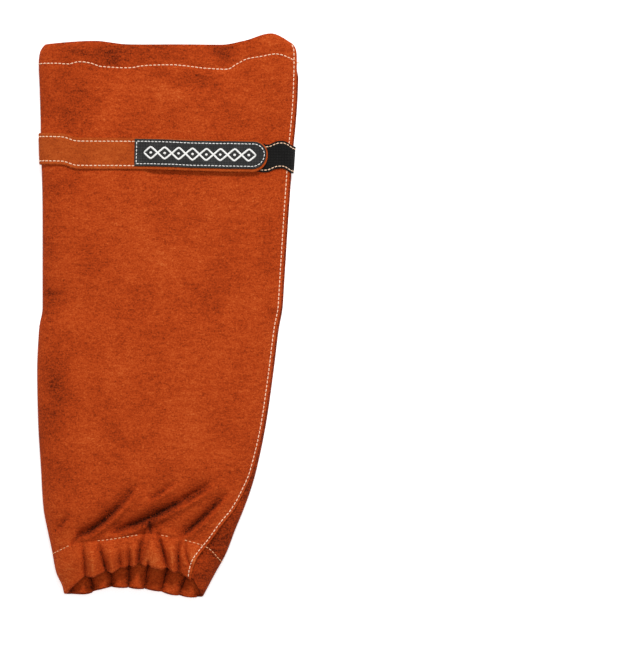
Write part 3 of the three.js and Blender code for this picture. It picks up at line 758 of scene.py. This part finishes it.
# Painted shade inside the mouth: the lining is darker, darkest in the valleys of its gathers near the wrist
# and lighter on their crests
mouth = section(v)
mouth_across = (outer[..., 0] - mouth["middle"]) / mouth["half"]
mouth_shade = MOUTH_PAINTED_SHADE - MOUTH_GATHER_PAINTED_SHADE * lower_gather(mouth_across) * (1 - smoothstep(from_wrist, 30, 60))

box_low, box_high = (np.array(corner) * 1000 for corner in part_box("sleeve_panel"))
flat_points = outer_face.reshape(-1, 3)
middle = (flat_points.min(0) + flat_points.max(0)) / 2
frame_shift[:] = [*((box_low + box_high)[:2] / 2 - middle[:2]) / 1000, 0.0]
print("shift to the frame in mm", [round(1000 * part, 2) for part in frame_shift])
panel = wall(
    "sleeve_panel_leather", outer_face, inner_face, shade, mouth_shade[:, picked], np.array(picked),
    cut_noses=False,
)

# %% [markdown]
# Strap, patch and tape. Each is a band that lies on the sleeve's face, so a station round the tube and an
# offset across the band give each of its points. The strap's stitch lines press grooves into the leather,
# which the offsets across must be close enough to show.

# %% Bands that lie on the sleeve
GROOVE_DEPTH = 0.3
GROOVE_WIDTH = 1.1
strap_tip = band_section["right"] - STRAP_TIP_INSET
seam_to_left = band_section["seam"] - band_section["left"]


def around_of(x):
    """The place around the upper ply of an X where the strap crosses it."""
    return (band_section["seam"] - x) / seam_to_left


def back_place(from_left):
    """The place around the back, from a distance in from the left fold."""
    return 2 + (from_left - band_section["fold"]) / (2 * (band_section["half"] - band_section["fold"]))


def wrapped(place):
    """Places below 0 go on from the seam down the right side: -1 is the right fold's end."""
    return np.where(np.asarray(place) < 0, np.asarray(place) + 5, place)


def band_points(place, across, offset=0.0):
    """Points and normals of the face under a band, for places around and distances across."""
    at = BAND_AT + (offset + across) / LENGTH
    where = wrapped(place)
    return face(where, at), face_normal(where, at)


def spaced(places, step):
    """Places a step apart in millimetres along the middle of the band, through the given ones."""
    stretches = [np.linspace(a, b, 40, endpoint=False) for a, b in zip(places, places[1:])]
    fine = np.concatenate([*stretches, places[-1:]])
    middle_line = face(wrapped(fine), np.full(len(fine), BAND_AT))
    length = np.concatenate([[0], np.cumsum(np.linalg.norm(np.diff(middle_line, axis=0), axis=1))])
    return np.interp(np.linspace(0, length[-1], int(length[-1] / step) + 2), length, fine)


def tip_places(tip, half):
    """Places round a half-round tip, with the share of the width at each."""
    angles = np.radians([4, 10, 20, 30, 40, 50, 60, 70, 80, 90])
    return around_of(tip - half * (1 - np.cos(angles))), np.sin(angles)


def across_offsets(half, inset, count):
    """Offsets across a band, closer together at the stitch lines."""
    line = half - inset
    near = line + np.array([-1.6, -1.0, -0.5, 0.0, 0.5, 1.0, 1.5])
    side = np.concatenate([near, [half]])
    side = side[side <= half]
    return np.concatenate([-side[::-1], np.linspace(-side[0], side[0], count)[1:-1], side])


def strap_lift(place):
    """Height of the strap's underside: on the leather, and over the tapes under its tip."""
    stack = TAPE_THICKNESS * 2 + CLEARANCE * 3
    start = band_section["right"] - TAPE_FRONT - DRAPE_FLAT
    return mix(stack, CLEARANCE, smoothstep(place, around_of(start), around_of(start - STRAP_RAMP)))


# The tape snakes a little where it shows: how far its middle stands off the strap's line
TAPE_LINE = table("place off", [
    (-2.6, 0.0), (-1.0, -2.2), (-0.1, -2.6), (0.0, -2.3), (0.03, -0.6), (0.055, -0.5), (0.09, -2.2),
    (0.157, -0.5), (0.3, 0.0),
])


def tape_offset(place):
    return follow(TAPE_LINE, "place", "off", place)


def band(name, places, widths, offsets, lift, thick, offset=0.0, groove_inset=None, wave=0.0):
    """A band on the sleeve. Widths are shares of the band's width at each place."""
    half = offsets[-1]
    across = widths[:, None] * offsets[None, :]
    place = np.repeat(np.asarray(places)[:, None], len(offsets), 1)
    base, normal = band_points(place, across, offset(place) if callable(offset) else offset)
    high = np.full(across.shape, thick)
    if groove_inset is not None:
        from_edge = half * widths[:, None] - abs(across)
        high -= GROOVE_DEPTH * np.exp(-(((from_edge - groove_inset) / GROOVE_WIDTH) ** 2))
    if wave:
        high += wave * soft_noise(base[..., 0], base[..., 1], 9.0, 17.0)
    lifts = lift(place) if callable(lift) else lift + 0 * place
    return wall(name, base + normal * (lifts + high)[..., None], base + normal * lifts[..., None])


half_strap = STRAP_WIDTH / 2
tip_around, tip_share = tip_places(strap_tip, half_strap)
strap_run = spaced(np.array([tip_around[-1], 1.0, 1.5, 2.0, back_place(STRAP_BACK)]), 1.7)[1:]
strap = band(
    "strap_leather_band",
    np.concatenate([tip_around, strap_run]),
    np.concatenate([tip_share, np.ones(len(strap_run))]),
    across_offsets(half_strap, STITCH_INSET, 16),
    strap_lift,
    STRAP_THICKNESS,
    groove_inset=STITCH_INSET,
    wave=0.18,
)

half_patch = PATCH_WIDTH / 2
patch_tip = strap_tip - PATCH_MARGIN
patch_inset = 1.9


def patch_lift(place):
    return strap_lift(place) + STRAP_THICKNESS + 0.1


tip_around, tip_share = tip_places(patch_tip, half_patch)
patch_run = spaced(np.array([tip_around[-1], around_of(patch_tip - PATCH_LENGTH)]), 1.7)[1:]
patch = band(
    "patch_cloth",
    np.concatenate([tip_around, patch_run]),
    np.concatenate([tip_share, np.ones(len(patch_run))]),
    across_offsets(half_patch, patch_inset, 14),
    patch_lift,
    PATCH_THICKNESS,
    offset=PATCH_SHIFT,
    groove_inset=patch_inset,
)

half_tape = TAPE_WIDTH / 2
tape_inset = 1.6
tape_ends = [
    around_of(band_section["right"] - TAPE_FRONT),
    back_place(2 * band_section["half"] - TAPE_BACK) - 5,
]
tape_run = spaced(np.array([tape_ends[0], 0.0, -0.5, -1.0, -1.5, -2.0, tape_ends[1]]), 1.7)
tape = band(
    "loop_tape_band",
    tape_run,
    np.ones(len(tape_run)),
    across_offsets(half_tape, tape_inset, 14),
    CLEARANCE,
    TAPE_THICKNESS,
    offset=tape_offset,
    groove_inset=tape_inset,
    wave=0.25,
)

# %% [markdown]
# Stitches. A lockstitch shows as short threads that dive into the leather at both ends. One stitch is
# modelled as a cylinder laid along X, its end faces extruded, made smaller and sunk. All rows then
# take copies of it, each turned along its line. Hundreds of copies are joined to one mesh a row, and each
# has only a few dozen faces.

# %% One stitch
STITCH_PITCH = 4.0
STITCH_LENGTH = 2.8
THREAD_RADIUS = 0.48
STRAIGHT_SHARE = 0.6
# Two steps of each end: how much it narrows, how far it reaches out and how far it dives
STITCH_ENDS = [(0.85, 0.35, 0.08), (0.6, 0.35, 0.25)]
rng = np.random.default_rng(12)


def model_stitch():
    """Points and faces of one stitch, in millimetres, along X with its top towards Z."""
    deselect()
    bpy.ops.mesh.primitive_cylinder_add(
        vertices=8, radius=THREAD_RADIUS, depth=STITCH_LENGTH * STRAIGHT_SHARE, rotation=(0, math.pi / 2, 0)
    )
    stitch = bpy.context.object
    bpy.ops.object.transform_apply(location=True, rotation=True, scale=True)
    for shrink, out, down in STITCH_ENDS:
        for end in (-1, 1):
            bpy.ops.object.mode_set(mode="EDIT")
            bpy.ops.mesh.select_mode(type="FACE")
            bpy.ops.mesh.select_all(action="DESELECT")
            bpy.ops.object.mode_set(mode="OBJECT")
            for polygon in stitch.data.polygons:
                polygon.select = polygon.normal.x * end > 0.9
            bpy.ops.object.mode_set(mode="EDIT")
            bpy.ops.mesh.extrude_region_move(TRANSFORM_OT_translate={"value": (end * out, 0, -down)})
            bpy.ops.transform.resize(value=(1, shrink, shrink))
            bpy.ops.object.mode_set(mode="OBJECT")
    points = np.array([vertex.co[:] for vertex in stitch.data.vertices])
    faces = [list(polygon.vertices) for polygon in stitch.data.polygons]
    bpy.data.objects.remove(stitch)
    return points, faces


stitch_points, stitch_faces = model_stitch()
print("one stitch:", len(stitch_faces), "faces,", stitch_points.max(0).round(2), "mm")


def along_line(points, normals, pitch):
    """Centres, directions and normals a pitch apart along a line."""
    lengths = np.concatenate([[0], np.cumsum(np.linalg.norm(np.diff(points, axis=0), axis=1))])
    places = np.arange(pitch / 2, lengths[-1], pitch)
    at = lambda values, where: np.stack([np.interp(where, lengths, values[:, c]) for c in range(3)], -1)
    forward = unit(at(points, places + 0.5) - at(points, places - 0.5))
    return at(points, places), forward, unit(at(normals, places))


def stitch_row(name, lines, pitch=STITCH_PITCH, scale=1.0, skip=None):
    """Stitches along lines, each given as points and normals."""
    points, faces = [], []
    for line_points, line_normals in lines:
        centres, forward, up = along_line(line_points, line_normals, pitch)
        for centre, x_axis, z_axis in zip(centres, forward, up):
            if skip is not None and skip(centre):
                continue
            x_axis = unit(x_axis + rng.normal(0, 0.05, 3))
            y_axis = unit(np.cross(z_axis, x_axis))
            turned = np.stack([x_axis * rng.uniform(0.92, 1.06), y_axis, np.cross(x_axis, y_axis)])
            faces += [[len(points) * len(stitch_points) + k for k in one] for one in stitch_faces]
            points.append(centre + scale * stitch_points @ turned)
    print(name, len(points), "stitches")
    return new_piece(name, np.concatenate(points), faces, 80.0)


def face_line(places, v_places, lift):
    """A line on the sleeve's face, as points and normals."""
    points, normals = face(places, v_places), face_normal(places, v_places)
    return points + normals * lift, normals


# %% Stitch rows of the panel
SEAM_STITCH = 2.7
# Stretches of the casing's line in which its stitches lie hidden in the folds
HIDDEN = [(-91.0, -65.0), (-27.0, -6.5), (3.5, 17.5)]
loop_places = np.concatenate([np.linspace(0.012, 1, 190), np.linspace(1.1, 2, 9), np.linspace(2.02, 3, 50),
                              np.linspace(3.1, 4, 9), np.linspace(4.05, 4.97, 12)])


def turned_in_line(from_end, start_v, sign):
    """The stitch line of a turned-in end: distances from its edge, all the way round."""
    x = face(loop_places, np.full(len(loop_places), start_v))[:, 0]
    distance = from_end(x)
    return face_line(loop_places, np.where(sign > 0, distance / LENGTH, 1 - distance / LENGTH), 0.1)


def in_the_folds(centre):
    return centre[2] > 12 and any(a < centre[0] < b for a, b in HIDDEN)


hem_row = stitch_row("hem_stitches", [turned_in_line(hem_line, 0.958, -1)])
casing_row = stitch_row(
    "casing_stitches", [turned_in_line(casing_line, 0.07, 1)], scale=0.85, skip=in_the_folds
)

seam_v = np.linspace(0.004, 0.994, 300)
seam_section = section(seam_v)
seam_places = SEAM_STITCH / (seam_section["seam"] - seam_section["left"])
seam_row = stitch_row("seam_stitches", [face_line(seam_places, seam_v, 0.1)])

# %% Stitch rows of the strap, the patch and the tape


def band_line(places, across, offset, lift):
    """A line on a band, as points and normals."""
    points, normals = band_points(np.asarray(places), across, offset)
    lifts = lift(np.asarray(places)) if callable(lift) else lift
    return points + normals * np.reshape(lifts + 0 * np.asarray(places), (-1, 1)), normals


strap_line = half_strap - STITCH_INSET
strap_from = around_of(patch_tip - PATCH_LENGTH + 1)
strap_back = back_place(STRAP_BACK - 3)
edge_run = spaced(np.array([strap_from, 1.0, 1.5, 2.0, strap_back]), 2.0)
strap_top = lambda place: strap_lift(place) + STRAP_THICKNESS - 0.12
strap_lines = [band_line(edge_run, side * strap_line, 0.0, strap_top) for side in (-1, 1)]
cross = np.linspace(-strap_line, strap_line, 12)
strap_lines.append(band_line(np.full(12, strap_back), cross, 0.0, strap_top))
strap_row = stitch_row("strap_stitches", strap_lines)

patch_line = half_patch - patch_inset
patch_top = lambda place: patch_lift(place) + PATCH_THICKNESS - 0.1
end_x = patch_tip - PATCH_LENGTH + patch_inset
turn_x = patch_tip - half_patch
turn = np.radians(np.linspace(90, -90, 15))
border_x = np.concatenate([np.linspace(end_x, turn_x, 40)[:-1], turn_x + patch_line * np.cos(turn),
                           np.linspace(turn_x, end_x, 40)[1:], np.full(8, end_x)])
border_y = np.concatenate([np.full(39, patch_line), patch_line * np.sin(turn), np.full(39, -patch_line),
                           np.linspace(-patch_line, patch_line, 9)[1:]])
border = band_line(around_of(border_x), border_y, PATCH_SHIFT, patch_top)
patch_row = stitch_row("patch_stitches", [border], pitch=3.4, scale=0.86)

tape_line = half_tape - tape_inset
tape_top = CLEARANCE + TAPE_THICKNESS - 0.08
tape_from = around_of(strap_tip - 6)
tape_to = tape_ends[1] + 0.012
tape_edge = spaced(np.array([tape_from, 0.0, -0.5, -1.0, -1.5, -2.0, tape_to]), 2.0)
tape_lines = [band_line(tape_edge, side * tape_line, tape_offset(tape_edge), tape_top) for side in (-1, 1)]
tape_cross = np.linspace(-tape_line, tape_line, 12)
tape_lines.append(band_line(np.full(12, tape_to), tape_cross, 0.0, tape_top))
tape_row = stitch_row("tape_stitches", tape_lines, pitch=3.6, scale=0.9)

# %% [markdown]
# The patch's ornament: two zigzags of thick white embroidery that cross to a chain of lozenges, with a
# small knot in each. Machine embroidery is a raised cord of thread, so each zigzag is a low round cord
# swept along its line, and one knot is modelled and copied.

# %% Ornament of the patch
LOZENGES = 8
LOZENGE_RISE = 6.4
CORD_WIDTH = 1.7
CORD_RISE = 0.55
CORD_SIDES = 8
KNOT_HALF = 1.3
KNOT_WIDTH = 2.2
ornament_from = end_x + 7
ornament_to = turn_x + 3


def cord(points, normals, wide, high):
    """Points and faces of a low round cord along a line on the cloth, with closed ends."""
    forward = unit(np.gradient(points, axis=0))
    side = unit(np.cross(normals, forward))
    angles = np.linspace(0, 2 * np.pi, CORD_SIDES, endpoint=False)
    taper = np.clip(np.minimum(np.arange(len(points)), np.arange(len(points))[::-1]) / 2 + 0.3, 0, 1)
    ring = side[:, None] * (wide / 2 * np.cos(angles))[None, :, None] * taper[:, None, None]
    ring = ring + normals[:, None] * (high * np.sin(angles))[None, :, None] * taper[:, None, None]
    made = (points[:, None] + ring).reshape(-1, 3)
    n, faces = CORD_SIDES, []
    for i in range(len(points) - 1):
        here, there = i * n, (i + 1) * n
        faces += [[here + j, here + (j + 1) % n, there + (j + 1) % n, there + j] for j in range(n)]
    faces += [list(range(n)), [(len(points) - 1) * n + j for j in range(n)][::-1]]
    return made, faces


ornament_points, ornament_faces = [], []


def add_to_ornament(points, faces):
    base = sum(len(part) for part in ornament_points)
    ornament_points.append(points)
    ornament_faces.extend([[base + k for k in one] for one in faces])


zigzag_x = np.linspace(ornament_from, ornament_to, LOZENGES * 16 + 1)
phase = (zigzag_x - ornament_from) / (ornament_to - ornament_from) * LOZENGES * np.pi
for start in (0, 1):
    swing = LOZENGE_RISE * np.arcsin(np.sin(phase + start * np.pi) * 0.97) / (np.pi / 2)
    line = band_line(around_of(zigzag_x), swing, PATCH_SHIFT, lambda p: patch_top(p) + 0.15 + 0.12 * start)
    add_to_ornament(*cord(*line, CORD_WIDTH, CORD_RISE))
for k in range(LOZENGES):
    knot_x = mix(ornament_from, ornament_to, (k + 0.5) / LOZENGES) + np.linspace(-KNOT_HALF, KNOT_HALF, 7)
    line = band_line(around_of(knot_x), 0 * knot_x, PATCH_SHIFT, lambda p: patch_top(p) + 0.15)
    add_to_ornament(*cord(*line, KNOT_WIDTH, CORD_RISE))
ornament = new_piece("patch_ornament", np.concatenate(ornament_points), ornament_faces, 60.0)
print("ornament", len(ornament_faces), "faces")

# %% [markdown]
# Materials. Colours are written as they look on a screen and turned to linear light by one function. One
# helper adds a node with its settings and its links, so a material reads as a short list. Patterns read
# Object coordinates, which are metres here, so a pattern's scale is worked out from a size in millimetres.

# %% Helpers for materials


def linear(hex_colour):
    """Linear colour with alpha from an sRGB hex value."""
    parts = [int(hex_colour[i : i + 2], 16) / 255 for i in (1, 3, 5)]
    return (*((c / 12.92 if c <= 0.04045 else ((c + 0.055) / 1.055) ** 2.4) for c in parts), 1.0)


def scale_of(millimetres):
    """Scale of a noise whose lumps are so many millimetres wide."""
    return 1000 / millimetres


def node(tree, kind, settings=None, **links):
    """Adds a node. Settings go to its properties or inputs, and links to its inputs by name or number."""
    made = tree.nodes.new(kind)
    for key, value in (settings or {}).items():
        if isinstance(key, str) and hasattr(made, key):
            setattr(made, key, value)
        else:
            made.inputs[key].default_value = value
    for key, output in links.items():
        name = int(key[1:]) if key[0] == "i" and key[1:].isdigit() else key.replace("_", " ")
        tree.links.new(output, made.inputs[name])
    return made


def new_material(name):
    """An empty node material with its shader, its output and Object coordinates."""
    material = bpy.data.materials.new(name)
    material.use_nodes = True
    tree = material.node_tree
    tree.nodes.clear()
    shader = node(tree, "ShaderNodeBsdfPrincipled")
    node(tree, "ShaderNodeOutputMaterial", Surface=shader.outputs[0])
    return material, tree, shader, node(tree, "ShaderNodeTexCoord").outputs["Object"]


def ramp(tree, factor, stops):
    """A colour ramp through (place, hex) stops."""
    made = node(tree, "ShaderNodeValToRGB", i0=factor)
    elements = made.color_ramp.elements
    while len(elements) < len(stops):
        elements.new(0.5)
    for element, (place, colour) in zip(elements, stops):
        element.position = place
        element.color = linear(colour)
    return made.outputs[0]


def lumps(tree, where, size, detail=2.0, rough=0.5, stretch=(1, 1, 1)):
    """Noise of a size in millimetres, between 0 and 1."""
    mapped = node(tree, "ShaderNodeMapping", {"Scale": stretch}, Vector=where)
    settings = {"Scale": scale_of(size), "Detail": detail, "Roughness": rough}
    return node(tree, "ShaderNodeTexNoise", settings, Vector=mapped.outputs[0]).outputs["Fac"]


def add_up(tree, start, parts):
    """start plus the sum of each value less its middle times its weight."""
    total = None
    for value, middle_value, weight in parts:
        settings = {"operation": "MULTIPLY_ADD", 1: weight, 2: -middle_value * weight}
        part = node(tree, "ShaderNodeMath", settings, i0=value).outputs[0]
        if total is None:
            total = node(tree, "ShaderNodeMath", {"operation": "ADD", 1: start}, i0=part).outputs[0]
        else:
            total = node(tree, "ShaderNodeMath", {"operation": "ADD"}, i0=total, i1=part).outputs[0]
    return total


def bump(tree, height, strength, millimetres):
    settings = {"Strength": strength, "Distance": millimetres / 1000}
    return node(tree, "ShaderNodeBump", settings, Height=height).outputs[0]


# %% [markdown]
# Split cowhide, dyed rust orange. The split has no grain side: both faces are a short nap of fibres, which
# scatters light at every angle, so it is fully rough, has a soft sheen at its edges and no gloss. The nap
# lies in patches, the dye took unevenly over centimetres, and single fibres catch the light.

# %% Suede of the panel
CLOUD_SIZE = 34.0
WRINKLE_SIZE = 4.5
NAP_SIZE = 2.4
FIBRE_SIZE = 1.3


def suede_material(name, stops, start, nap_weight, sheen):
    material, tree, shader, where = new_material(name)
    clouds = lumps(tree, where, CLOUD_SIZE, 3.0)
    wrinkles = lumps(tree, where, WRINKLE_SIZE, 3.0, 0.6, (0.45, 1.2, 1))
    nap = lumps(tree, where, NAP_SIZE, 3.0, 0.65, (1, 1.5, 1))
    fibres = lumps(tree, where, FIBRE_SIZE, 2.0, 0.7)
    # The shade attribute darkens the suede: stains of the hide, and painted shade and highlight from the
    # panel
    stain_and_painted_shade = node(tree, "ShaderNodeAttribute", {"attribute_name": "shade"}).outputs["Fac"]
    parts = [
        (clouds, 0.5, 0.35), (wrinkles, 0.5, 0.4), (nap, 0.5, nap_weight), (fibres, 0.5, 0.8),
        (stain_and_painted_shade, 0, -0.4),
    ]
    shader.inputs["Roughness"].default_value = 0.95
    shader.inputs["Specular IOR Level"].default_value = 0.06
    shader.inputs["Sheen Weight"].default_value = sheen
    shader.inputs["Sheen Roughness"].default_value = 0.5
    shader.inputs["Sheen Tint"].default_value = linear("#E8935F")
    tree.links.new(ramp(tree, add_up(tree, start, parts), stops), shader.inputs["Base Color"])
    relief = add_up(tree, 0.5, [(nap, 0.5, 0.7), (fibres, 0.5, 0.6), (wrinkles, 0.5, 0.9)])
    tree.links.new(bump(tree, relief, 0.8, 0.5), shader.inputs["Normal"])
    return material


SUEDE_STOPS = [(0.0, "#240904"), (0.2, "#64200A"), (0.38, "#94330F"), (0.54, "#AE3E13"), (0.74, "#C2511F"),
               (1.0, "#DC7B40")]
suede = suede_material("split_cowhide_suede_rust", SUEDE_STOPS, 0.55, 0.65, 0.03)

# %% [markdown]
# The strap is the same hide, cut from a smoother split and pressed by sewing. Its nap is shorter and its
# cut edge shows the undyed, pinkish middle of the leather. The panel's cut edges are dark from the dye.

# %% Strap leather and cut edges
STRAP_STOPS = [(0.0, "#571D0B"), (0.25, "#8C3613"), (0.5, "#AC4819"), (0.75, "#BC5824"), (1.0, "#CF7436")]
strap_leather = suede_material("pressed_split_leather", STRAP_STOPS, 0.5, 0.6, 0.03)
EDGE_STOPS = [(0.0, "#4A2015"), (0.5, "#834736"), (1.0, "#AA6C52")]
cut_edge = suede_material("cut_leather_edge_pink_brown", EDGE_STOPS, 0.5, 0.3, 0.0)
DARK_EDGE_STOPS = [(0.0, "#35130A"), (0.5, "#6E2C17"), (1.0, "#94452A")]
dark_edge = suede_material("cut_suede_edge_dark", DARK_EDGE_STOPS, 0.45, 0.3, 0.0)

# %% [markdown]
# Patch, tape and thread. The patch is a dense charcoal polyester weave. The tape is black nylon: loops in
# the middle make a dull pile, and a smooth selvedge runs along each edge. The thread is spun polyester,
# nearly white with a peach tint, and the casing's row is darker and more orange.

# %% Woven cloth, tape and thread
WEAVE = 1.3  # a real thread is 0.4 mm wide, which is too fine to show at this distance
PILE = 1.2


def woven_material(name, stops, size, roughness, depth, pile):
    material, tree, shader, where = new_material(name)
    waves = [
        node(tree, "ShaderNodeTexWave",
             {"bands_direction": axis, "Scale": scale_of(size) / 6.3, "Distortion": 0.6, "Detail": 1.0},
             Vector=where).outputs["Fac"]
        for axis in ("X", "Y")
    ]
    fuzz = lumps(tree, where, pile, 3.0, 0.7)
    soil = lumps(tree, where, 14.0, 2.0)
    parts = [(waves[0], 0.5, 0.15), (waves[1], 0.5, 0.15), (fuzz, 0.5, 0.6), (soil, 0.5, 0.5)]
    tone = add_up(tree, 0.5, parts)
    tree.links.new(ramp(tree, tone, stops), shader.inputs["Base Color"])
    relief = add_up(tree, 0.5, [(waves[0], 0.5, 0.5), (waves[1], 0.5, 0.5), (fuzz, 0.5, 0.8)])
    tree.links.new(bump(tree, relief, 0.7, depth), shader.inputs["Normal"])
    shader.inputs["Roughness"].default_value = roughness
    shader.inputs["Specular IOR Level"].default_value = 0.2
    return material


charcoal_cloth = woven_material(
    "woven_polyester_charcoal", [(0.0, "#141414"), (0.5, "#2B2B2B"), (1.0, "#4C4B4A")], WEAVE, 0.8, 0.25, 1.6
)
nylon_tape = woven_material(
    "nylon_loop_pile_black", [(0.0, "#040404"), (0.5, "#0E0D0C"), (1.0, "#242221")], WEAVE, 0.85, 0.4, PILE
)


def thread_material(name, dark, medium, light):
    material, tree, shader, where = new_material(name)
    tone = add_up(tree, 0.55, [(lumps(tree, where, 3.0), 0.5, 0.6), (lumps(tree, where, 0.7), 0.5, 0.4)])
    colour = ramp(tree, tone, [(0.0, dark), (0.5, medium), (1.0, light)])
    tree.links.new(colour, shader.inputs["Base Color"])
    tree.links.new(bump(tree, lumps(tree, where, 0.5, 1.0), 0.5, 0.15), shader.inputs["Normal"])
    shader.inputs["Roughness"].default_value = 0.7
    return material


peach_thread = thread_material("spun_polyester_thread_peach", "#EBA473", "#FFD2AC", "#FFEEDC")
darker_orange_thread = thread_material("spun_polyester_thread_darker_orange", "#C86F3C", "#F0AC78", "#FCD0A8")
white_thread = thread_material("spun_polyester_thread_white", "#D5D3CF", "#F1F0EC", "#FFFFFF")


def finish_with(piece, *materials):
    """Gives a piece its materials, in the order of its face slots."""
    piece.data.materials.clear()
    for material in materials:
        piece.data.materials.append(material)


finish_with(panel, suede, dark_edge)
finish_with(strap, strap_leather, cut_edge)
finish_with(patch, charcoal_cloth, charcoal_cloth)
finish_with(tape, nylon_tape, nylon_tape)
for row in (hem_row, seam_row, strap_row, tape_row):
    finish_with(row, peach_thread)
finish_with(casing_row, darker_orange_thread)
for row in (patch_row, ornament):
    finish_with(row, white_thread)
hook_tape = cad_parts["hook_tape"]
for index in range(max(len(hook_tape.material_slots), 1)):
    if hook_tape.material_slots:
        hook_tape.material_slots[index].material = nylon_tape
    else:
        hook_tape.data.materials.append(nylon_tape)

# %% [markdown]
# Floor and light. The floor is nearly white paper. One large soft lamp stands beyond the bicep end, so that
# the creases shade towards the wrist, and the sky fills the rest.

# %% Floor and lights
FLOOR_SIZE = 8.0
FLOOR_DEPTH = 0.0004
bpy.ops.mesh.primitive_plane_add(size=FLOOR_SIZE, location=(0, 0, -FLOOR_DEPTH))
floor = bpy.context.object
floor.name = "floor"
paper, _, paper_shader, _ = new_material("white_paper_matt")
paper_shader.inputs["Base Color"].default_value = linear("#F7F7F7")
paper_shader.inputs["Roughness"].default_value = 0.9
paper_shader.inputs["Emission Color"].default_value = linear("#FFFFFF")
paper_shader.inputs["Emission Strength"].default_value = 0.55
finish_with(floor, paper)
deselect()


def lamp(name, place, aim, size, watts):
    data = bpy.data.lights.new(name, "AREA")
    data.shape = "DISK"
    data.size = size
    data.energy = watts
    made = bpy.data.objects.new(name, data)
    bpy.context.scene.collection.objects.link(made)
    made.location = place
    made.rotation_mode = "QUATERNION"
    made.rotation_quaternion = (Vector(aim) - Vector(place)).to_track_quat("-Z", "Y")
    return made


lamp("key", (0.4, 2.2, 2.5), (0, -0.05, 0), 0.8, 78)
lamp("top", (0.1, -0.1, 2.6), (0.0, -0.1, 0), 1.4, 20)
world = bpy.data.worlds.new("sky")
world.use_nodes = True
world.node_tree.nodes["Background"].inputs[0].default_value = (1.0, 1.0, 1.0, 1.0)
world.node_tree.nodes["Background"].inputs[1].default_value = 0.26
bpy.context.scene.world = world
bpy.context.scene.view_settings.view_transform = "Standard"

# %% [markdown]
# The last step hangs each piece on the root body and hides the solids of the panel, the strap, the patch
# and the tape, which the pieces stand in for.

# %% Rides, and the solids hidden
for piece, slot_name in (
    (panel, "suede"), (strap, "strap_leather"), (patch, "patch"), (tape, "tape"),
    (hem_row, None), (casing_row, None), (seam_row, None), (strap_row, None), (patch_row, None),
    (tape_row, None), (ornament, None),
):
    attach(piece, "root")
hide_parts("sleeve_panel")
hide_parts("strap")
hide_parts("label_patch")
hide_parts("loop_tape")
